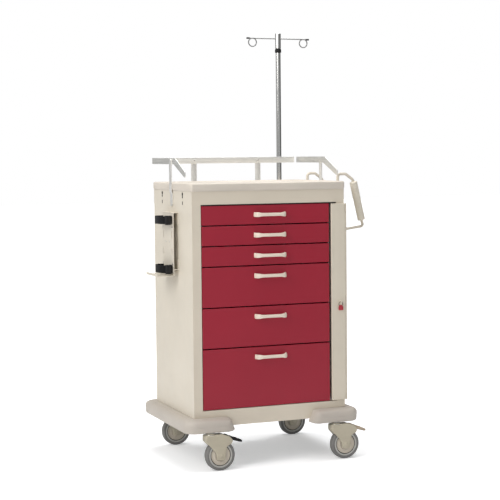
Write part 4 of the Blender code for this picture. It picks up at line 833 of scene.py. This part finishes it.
def build_seal():
    """Wire staple through the lug of the lock bar with a blank plastic tag."""
    steps = 36
    loop = []
    for step in range(steps):
        angle = 2.0 * math.pi * step / steps
        loop.append(Vector((LUG_X + 0.0088 * math.sin(angle), LUG_Y, LUG_Z - 0.0076 + 0.0095 * math.cos(angle))))
    piece("seal_wire", [swept(loop, 0.0011, 10, closed=True)], "lock_bar", SEAL_WIRE,
          ["breakaway_seal"])
    top = LUG_Z - 0.016
    tag = rounded([(LUG_X - 0.01, top), (LUG_X + 0.0115, top), (LUG_X + 0.0115, top - 0.017),
                   (LUG_X - 0.01, top - 0.017)], 0.004)
    clasp = rounded([(LUG_X - 0.006, top + 0.0052), (LUG_X + 0.006, top + 0.0052), (LUG_X + 0.0085, top - 0.003),
                     (LUG_X - 0.0085, top - 0.003)], 0.0025)
    plates = [prism(outline, "Y", LUG_Y - half, LUG_Y + half) for outline, half in ((tag, 0.0012), (clasp, 0.0026))]
    piece("seal_tag", plates, "lock_bar", SEAL_RED, ["breakaway_seal"], edge=0.0006)


# ---------------------------------------------------------------- rails
def post_solid(path, half, thickness, rounding=0.01):
    """Flat post with round ends: path holds (height, back face distance) pairs from bottom to top."""
    low, high = path[0][0], path[-1][0]
    heights = sorted(set([height for height, _ in path]
                         + [low + rounding * (1 - math.cos(math.radians(a))) for a in (0, 25, 45, 65, 90)]
                         + [high - rounding * (1 - math.cos(math.radians(a))) for a in (0, 25, 45, 65, 90)]))
    rings = []
    for height in heights:
        for (lower, near), (upper, far) in zip(path[:-1], path[1:]):
            if lower <= height <= upper:
                back = near + (far - near) * (height - lower) / (upper - lower)
        width = half
        for edge in (height - low, high - height):
            if edge < rounding:
                width = min(width, half - rounding + math.sqrt(max(rounding ** 2 - (rounding - edge) ** 2, 1e-9)))
        rings.append((height, back, width, thickness))
    return rings


def side_post(side):
    """Post of a side rail, joggled around the edge of the cover."""
    path = [(POST_FOOT, SIDE + TOUCH), (CABINET_TOP - 0.013, SIDE + TOUCH), (CABINET_TOP - 0.003, RAIL_OUT),
            (RAIL_TOP - 0.003, RAIL_OUT)]
    rings = [[(side * back, -width, height), (side * (back + thick), -width, height),
              (side * (back + thick), width, height), (side * back, width, height)]
             for height, back, width, thick in post_solid(path, POST_HALF, POST_THICKNESS)]
    return loft(rings)


def back_post(x):
    """Post of the back rail."""
    outer = REAR + COVER_EDGE
    path = [(POST_FOOT, REAR - 0.002), (CABINET_TOP - 0.017, REAR - 0.002), (CABINET_TOP - 0.003, outer),
            (RAIL_TOP - 0.003, outer)]
    rings = [[(x - width, back, height), (x + width, back, height), (x + width, back + thick, height),
              (x - width, back + thick, height)]
             for height, back, width, thick in post_solid(path, POST_HALF, POST_THICKNESS)]
    return loft(rings)


def build_rails():
    """Flat rails with rounded tips, joggled posts and screws."""
    low = RAIL_TOP - RAIL_HEIGHT
    rear = REAR + COVER_EDGE
    tips = [(rear, low), (rear, RAIL_TOP), (-0.052, RAIL_TOP), (-0.1785, 1.203), (-0.1785, 1.1764), (-0.0349, low)]
    outline = rounded(tips, [0.003, 0.003, 0.045, 0.013, 0.011, 0.035], 8)
    for name, side in (("left_rail", -1), ("right_rail", 1)):
        near, far = sorted((side * (RAIL_OUT + RAIL_BITE - RAIL_THICKNESS), side * (RAIL_OUT + RAIL_BITE)))
        piece(name + "_bar", [prism(outline, "X", near, far)], "cabinet", RAIL_STEEL, [name],
              edge=0.0009)
        piece(name + "_post", [side_post(side)], "cabinet", POST_STEEL, [name], edge=0.0006)
        out = (side, 0.0, 0.0)
        piece(name + "_screws",
              [screw((side * (SIDE + 0.004), 0.0, POST_FOOT + 0.012), out, 0.0045, 0.0022),
               screw((side * (RAIL_OUT + RAIL_BITE - RAIL_THICKNESS), 0.0, RAIL_TOP - 0.013), (-side, 0.0, 0.0),
                     0.0042)],
              "cabinet", SCREW_STEEL)
    face = rear + RAIL_BITE - RAIL_THICKNESS
    half = BACK_RAIL_HALF
    ends = rounded([(-half, low), (half, low), (half, RAIL_TOP), (-half, RAIL_TOP)], 0.004)
    piece("back_rail_bar", [prism(ends, "Y", face, face + RAIL_THICKNESS)], "cabinet", BACK_RAIL_STEEL,
          ["back_rail"], edge=0.0009)
    posts = [back_post(x) for x in (-BACK_POST_X, BACK_POST_X)]
    piece("back_rail_posts", posts, "cabinet", POST_STEEL, ["back_rail"], edge=0.0006)
    screws = []
    for x in (-BACK_POST_X, BACK_POST_X):
        screws.append(screw((x, face, RAIL_TOP - 0.013), (0, -1, 0), 0.0042))
        screws.append(screw((x, REAR + 0.0018, POST_FOOT + 0.012), (0, 1, 0), 0.0045, 0.0022))
    fixings("back_rail_screws", screws)


# ---------------------------------------------------------------- pole
def build_pole():
    """Chromed tube, sliding rod, ribbed collar, hook head and the hook wire with its tips."""
    up = (0.0, 0.0, 1.0)
    foot = (POLE_X, POLE_Y, POLE_BOTTOM)
    length = POLE_TOP - POLE_BOTTOM
    tube = [(0.0, 0.0098), (0.0012, 0.011), (length - 0.0006, 0.011), (length, 0.0104), (length, 0.0095),
            (0.006, 0.0095)]
    piece("pole_tube", [turned(foot, up, tube, 64)], "cabinet", CHROME, ["iv_pole_tube"])
    piece("pole_end_plug", [turned((POLE_X, POLE_Y, POLE_BOTTOM - 0.004), up,
                                   [(0.0, 0.007), (0.0015, 0.0106), (0.0042, 0.0108)], 40)],
          "cabinet", BLACK_PLASTIC)
    rod_top = POLE_TOP + 0.018 + 0.022
    piece("pole_rod", [bar((POLE_X, POLE_Y, 0.6), (POLE_X, POLE_Y, rod_top), 0.008, 48, 0.0008)], "iv_rod",
          ROD_CHROME, ["iv_pole_rod"])
    collar = [(0.0003, 0.0084), (0.0003, 0.0124), (0.0012, 0.0134), (0.0022, 0.0137, 0.0004, 18),
              (0.0128, 0.0137, 0.0004, 18), (0.0142, 0.0134), (0.0158, 0.0128), (0.0178, 0.0118), (0.0178, 0.0084)]
    piece("twist_collar", [turned((POLE_X, POLE_Y, POLE_TOP), up, collar, 144, bored=True)], "pole_collar",
          BLACK_PLASTIC, ["iv_twist_collar"])
    start = POLE_TOP + 0.0183
    head = [(0.0223, 0.0084), (0.0, 0.0084), (0.0, 0.0115), (0.001, 0.0125), (0.064, 0.0125), (0.0662, 0.0121),
            (0.0674, 0.0108), (0.0677, 0.006)]
    piece("hook_head", [turned((POLE_X, POLE_Y, start), up, head, 64)], "iv_head", CHROME,
          ["iv_hook_head"])
    turns = 44
    right = [Vector((0.0, 0.0, HOOK_Z)), Vector((0.06, 0.0, HOOK_Z))]
    for step in range(turns + 1):
        share = step / turns
        angle = math.radians(90.0 - 360.0 * share)
        right.append(Vector((HOOK_RING_X + HOOK_RING_RADIUS * math.cos(angle), HOOK_STEP * share,
                             HOOK_Z - HOOK_RING_RADIUS + HOOK_RING_RADIUS * math.sin(angle))))
    right.append(Vector((HOOK_RING_X + HOOK_RING_RADIUS, HOOK_STEP, HOOK_Z)))
    left = [Vector((-point.x, -point.y, point.z)) for point in reversed(right[1:])]
    points = [point + Vector((POLE_X, POLE_Y, 0.0)) for point in left + right]
    piece("hook_wire", [swept(points, 0.0024, 14)], "iv_head", WIRE_STEEL, ["iv_hooks"], limit=60)
    tips = []
    for side in (-1, 1):
        begin = Vector((POLE_X + side * 0.1385, POLE_Y + side * HOOK_STEP, HOOK_Z))
        tips.append(turned(begin, (side, 0.0, 0.0), [(0.0, 0.003), (0.0008, 0.0036), (0.0125, 0.0038),
                                                       (0.0148, 0.003), (0.0156, 0.0014)], 24))
    piece("hook_tips", tips, "iv_head", BLACK_PLASTIC, ["iv_hooks"])
    collars = []
    for side in (-1, 1):
        collars.append(turned((POLE_X + side * 0.012, POLE_Y, HOOK_Z), (side, 0, 0),
                              [(0.0, 0.0046), (0.001, 0.0046), (0.0018, 0.0032)], 24))
    piece("hook_collars", collars, "iv_head", CHROME)


# ---------------------------------------------------------------- push handles
def build_handles():
    """Two coated bent rods with wall flanges and finger-ribbed vinyl grips."""
    wall = SIDE + TOUCH
    foot_z = CABINET_TOP - 0.036
    arm_z = COVER_TOP - 0.21
    crest = COVER_TOP + 0.028
    for name, y in (("push_handle_front", -HANDLE_Y), ("push_handle_rear", HANDLE_Y)):
        corners = [(wall, y, foot_z), (SIDE + 0.014, y, foot_z), (SIDE + 0.014, y, crest), (SIDE + 0.05, y, crest),
                   (GRIP_TOP.x, y, GRIP_TOP.z), (GRIP_LOW.x, y, GRIP_LOW.z),
                   (SIDE + 0.1335, y, COVER_TOP - 0.195), (wall + 0.012, y, arm_z), (wall, y, arm_z)]
        path = rounded_path(corners, [0.008, 0.014, 0.016, 0.02, 0.03, 0.01, 0.02], 10)
        flanges = []
        for height in (foot_z, arm_z):
            flanges.append(turned((wall, y, height), (1, 0, 0), [(0.0, 0.012), (0.0016, 0.012), (0.0028, 0.0112),
                                                                (0.0032, 0.0088), (0.0048, 0.0074)], 40))
        piece(name + "_rod", [swept(path, 0.006, 24)] + flanges, "cabinet", HANDLE_COAT, [name],
              limit=45)
        upper = Vector((GRIP_TOP.x, y, GRIP_TOP.z))
        lower = Vector((GRIP_LOW.x, y, GRIP_LOW.z))
        direction = (lower - upper).normalized()
        start = (upper + lower) / 2.0 - direction * GRIP_LENGTH / 2.0
        profile = [(0.0, 0.0064), (0.0, 0.0128), (0.0012, 0.015), (0.004, 0.0159)]
        ribs = 15
        steps = ribs * 6
        for step in range(steps + 1):
            along = 0.006 + (GRIP_LENGTH - 0.012) * step / steps
            profile.append((along, 0.0151 + 0.0014 * abs(math.cos(math.pi * ribs * step / steps)) ** 0.7))
        profile += [(GRIP_LENGTH - 0.004, 0.0159), (GRIP_LENGTH - 0.0012, 0.015), (GRIP_LENGTH, 0.0128),
                    (GRIP_LENGTH, 0.0064)]
        piece(name + "_sleeve", [turned(start, direction, profile, 40, bored=True)], "cabinet", GRIP_PLASTIC,
              [name + "_grip"], limit=60)


# ---------------------------------------------------------------- oxygen tank bracket
def strap(name, low, replaced):
    """Flat webbing strap bowed out from the bracket plate, with its ends meeting the plate."""
    base = PLATE_X - TOUCH
    high = low + 0.032
    thick = 0.0024
    path = []
    steps = 48
    for step in range(steps + 1):
        angle = math.pi * step / steps
        bulge = 0.0496 * math.sin(angle) ** 0.6 if 0 < step < steps else 0.0
        path.append(Vector((base - bulge, -0.0572 * math.cos(angle))))
    rings = []
    for index, point in enumerate(path):
        tangent = (path[min(index + 1, steps)] - path[max(index - 1, 0)]).normalized()
        inward = Vector((-tangent.y, tangent.x))
        if inward.dot(Vector((base, 0.0)) - point) < 0.0:
            inward = -inward
        if index in (0, steps):
            inward = Vector((0.0, 1.0 if index == 0 else -1.0))
        outer, inner = point, point + inward * thick
        ring = []
        for spot, depth in ((low + 0.0008, 0), (low, 0.5), (low + 0.0008, 1), (high - 0.0008, 1), (high, 0.5),
                            (high - 0.0008, 0)):
            where = outer + (inner - outer) * depth
            ring.append((where.x, where.y, spot))
        rings.append(ring)
    piece(name, [loft(rings)], "cabinet", WEBBING, [replaced], limit=50)


def buckle(name, low, replaced):
    """Cam buckle: side plates, a rounded lever and the axle between them."""
    base = PLATE_X - TOUCH
    y = -0.058
    shell = rounded([(base - 0.0035, y - 0.0002), (base - 0.03, y - 0.0002), (base - 0.0345, y - 0.006),
                     (base - 0.029, y - 0.0125), (base - 0.01, y - 0.0138), (base - 0.004, y - 0.008)],
                    [0.002, 0.004, 0.004, 0.005, 0.004, 0.003], 5)
    plates = [prism(shell, "Z", low - 0.003, low - 0.0004), prism(shell, "Z", low + 0.0324, low + 0.035)]
    lever = rounded([(base - 0.006, y - 0.001), (base - 0.028, y - 0.001), (base - 0.033, y - 0.006),
                     (base - 0.027, y - 0.011), (base - 0.01, y - 0.0122), (base - 0.0052, y - 0.007)],
                    [0.002, 0.004, 0.0035, 0.0045, 0.004, 0.002], 5)
    body = [prism(lever, "Z", low + 0.0002, low + 0.0318)]
    axle_x, axle_y = base - 0.018, y - 0.0065
    axle = [bar((axle_x, axle_y, low - 0.004), (axle_x, axle_y, low + 0.036), 0.0022, 20, 0.0005)]
    piece(name + "_lever", body + plates, "cabinet", BLACK_PLASTIC, [replaced], edge=0.0011)
    fixings(name + "_axle", axle)


def build_bracket_parts():
    """Straps, buckles and screws of the oxygen tank bracket."""
    for label, low in (("upper", BRACKET_Z + 0.214), ("lower", BRACKET_Z + 0.012)):
        strap("webbing_" + label, low, "strap_" + label)
        buckle("cam_buckle_" + label, low, "strap_buckle_" + label)
    screws = []
    for side in (-1, 1):
        for y, height in ((0.06, 0.05), (0.06 * 0.35, 0.14), (0.06, 0.2)):
            screws.append(screw((PLATE_X, side * y, BRACKET_Z + height), (-1, 0, 0), 0.004))
    fixings("bracket_screws", screws)


# ---------------------------------------------------------------- small fixings
def build_fixings():
    """Rivets, painted shade in the panel holes and along the top edge of the drawer opening, and screws on the sheet
    metal.
    """
    rivets = []
    for side in (-1, 1):
        for y in (-0.215, 0.215):
            for height in (0.25, 0.66, 1.04):
                rivets.append(turned((side * SIDE, y, height), (side, 0, 0), [(-0.0005, 0.0032), (0.0002, 0.0032),
                                                                             (0.0008, 0.0024), (0.001, 0.001)], 20))
    piece("side_rivets", rivets, "cabinet", CREAM_PAINT)
    # painted shade: black discs and blocks over the side panel holes and their slots stand in for the shade inside them
    hole_shade_pieces = []
    for side in (-1, 1):
        for y in (-PANEL_HOLE_Y, PANEL_HOLE_Y):
            for drop, radius in ((0.012, 0.0068), (0.024, 0.0048)):
                hole_shade_pieces.append(turned((side * SIDE, y, CABINET_TOP - drop), (side, 0, 0),
                                      [(0.0003, radius), (0.0008, radius), (0.001, radius - 0.0006)], 24))
            near, far = sorted((side * (SIDE + 0.0003), side * (SIDE + 0.0009)))
            hole_shade_pieces.append(block((near, y - 0.0028, CABINET_TOP - 0.056), (far, y + 0.0028, CABINET_TOP - 0.042)))
    piece("panel_hole_painted_shade", hole_shade_pieces, "cabinet", DARK_GROOVE_AND_SHADE)
    # painted shade: a black strip and lip along the top edge of the drawer opening stand in for the shadowed gap there
    half, lip_half = SIDE - 0.0373, SIDE - 0.0365
    strip = block((-half, FRONT - 0.0006, OPENING_TOP - 0.0016), (half, FRONT + 0.004, OPENING_TOP - 0.0002))
    lip = block((-lip_half, FRONT - 0.0009, OPENING_TOP - 0.0004), (lip_half, FRONT - 0.0003, OPENING_TOP + 0.0022))
    piece("opening_edge_painted_shade", [strip, lip], "cabinet", DARK_GROOVE_AND_SHADE)
    rear = REAR - 0.0023
    screws = []
    for x in (-0.285, -0.1, 0.1, 0.285):
        for height in (0.2, 1.1):
            screws.append(screw((x, rear, height), (0, 1, 0), 0.0036))
    for x in (-0.318, 0.318):
        for height in (0.25, 0.5, 0.78, 1.02):
            screws.append(screw((x, REAR, height), (0, 1, 0), 0.0036))
    fixings("rear_screws", screws)
    plate = REAR + 0.001
    heads = [screw((POLE_X + x, plate, height), (0, 1, 0), 0.0036)
             for x in (-0.014, 0.014) for height in (0.66, 0.8, 0.95)]
    fixings("pole_bracket_screws", heads)
    leaf = [screw((SIDE + 0.003, FRONT + 0.018, height), (1, 0, 0), 0.0032)
            for height in (0.27, 0.4, 0.53, 0.78, 0.91, 1.04)]
    piece("hinge_screws", leaf, "cabinet", SCREW_STEEL)


# ---------------------------------------------------------------- studio
def build_studio():
    """Pale floor, soft lights and a bright surround that darkens to the right for the metal to reflect."""
    size = 30.0
    mesh = bpy.data.meshes.new("floor")
    mesh.from_pydata([(-size, -size, 0), (size, -size, 0), (size, size, 0), (-size, size, 0)], [], [(0, 1, 2, 3)])
    floor = bpy.data.objects.new("floor", mesh)
    bpy.context.scene.collection.objects.link(floor)
    material, tree, shader = new_material("floor_paper", specular=0.05)
    place = object_place(tree)
    tone = mixed(tree, noise(tree, place, 1.5, 2.0), linear(247, 248, 250), linear(252, 252, 253))
    tree.links.new(tone, shader.inputs["Base Color"])
    shader.inputs["Roughness"].default_value = 0.9
    shader.inputs["Emission Color"].default_value = (1.0, 1.0, 1.0, 1.0)
    distance = node(tree, "ShaderNodeVectorMath", {0: place}, operation="LENGTH").outputs["Value"]
    seen = node(tree, "ShaderNodeLightPath").outputs["Is Camera Ray"]
    lift = calculated(tree, "MULTIPLY", seen, ranged(tree, distance, 0.32, 1.0, 0.8, 3.2))
    tree.links.new(lift, shader.inputs["Emission Strength"])
    mesh.materials.append(material)

    bpy.context.scene.view_settings.view_transform = "Standard"
    world = bpy.data.worlds.new("studio")
    bpy.context.scene.world = world
    world.use_nodes = True
    tree = world.node_tree
    background = tree.nodes["Background"]
    direction = node(tree, "ShaderNodeTexCoord").outputs["Generated"]
    parts = node(tree, "ShaderNodeSeparateXYZ", {"Vector": direction})
    bands = node(tree, "ShaderNodeMapRange", {"Value": parts.outputs["X"], "From Min": -0.2, "From Max": 0.75,
                                              "To Min": 0.51, "To Max": 0.16}, interpolation_type="SMOOTHSTEP")
    seen = node(tree, "ShaderNodeLightPath").outputs["Is Camera Ray"]
    level = node(tree, "ShaderNodeMix", {0: seen, 2: bands.outputs["Result"], 3: 1.0}).outputs[0]
    background.inputs["Color"].default_value = (1.0, 1.0, 1.0, 1.0)
    tree.links.new(level, background.inputs["Strength"])

    for name, place, aim, size, energy, tint in (
            ("key", (-3.4, -1.6, 3.0), (0.0, 0.0, 0.8), 2.4, 84.0, (1.0, 0.985, 0.96)),
            ("front_fill", (0.6, -4.5, 2.2), (0.0, 0.0, 0.8), 3.0, 8.0, (0.98, 0.99, 1.0)),
            ("top", (0.3, 0.3, 4.2), (0.0, 0.0, 0.0), 3.0, 118.0, (1.0, 1.0, 1.0))):
        lamp = bpy.data.lights.new(name, "AREA")
        lamp.shape = "SQUARE"
        lamp.size = size
        lamp.energy = energy
        lamp.color = tint
        item = bpy.data.objects.new(name, lamp)
        item.location = place
        item.rotation_euler = (Vector(aim) - Vector(place)).to_track_quat("-Z", "Y").to_euler()
        bpy.context.scene.collection.objects.link(item)


def build_camera():
    """Camera at the photograph's place, direction and focal length."""
    yaw, pitch, roll = (math.radians(angle) for angle in CAMERA_TURN)
    forward = Vector((math.sin(yaw) * math.cos(pitch), math.cos(yaw) * math.cos(pitch), -math.sin(pitch)))
    level = Vector((math.cos(yaw), -math.sin(yaw), 0.0))
    upright = level.cross(forward)
    right = level * math.cos(roll) + upright * math.sin(roll)
    up = upright * math.cos(roll) - level * math.sin(roll)
    lens = bpy.data.cameras.new("camera")
    lens.sensor_width = 36.0
    lens.lens = CAMERA_LENS
    lens.shift_x, lens.shift_y = CAMERA_SHIFT
    lens.clip_end = 200.0
    item = bpy.data.objects.new("camera", lens)
    rows = [(right[row], up[row], -forward[row], place)
            for row, place in enumerate((CAMERA_PLACE[0] + SHIFT, CAMERA_PLACE[1], CAMERA_PLACE[2]))]
    item.matrix_world = Matrix(rows + [(0.0, 0.0, 0.0, 1.0)])
    bpy.context.scene.collection.objects.link(item)
    bpy.context.scene.camera = item


build_camera()
build_studio()
finish_kept_nodes()
build_casters()
build_bumpers()
build_cover()
build_pulls()
build_seal()
build_rails()
build_pole()
build_handles()
build_bracket_parts()
build_fixings()

bpy.context.view_layer.update()
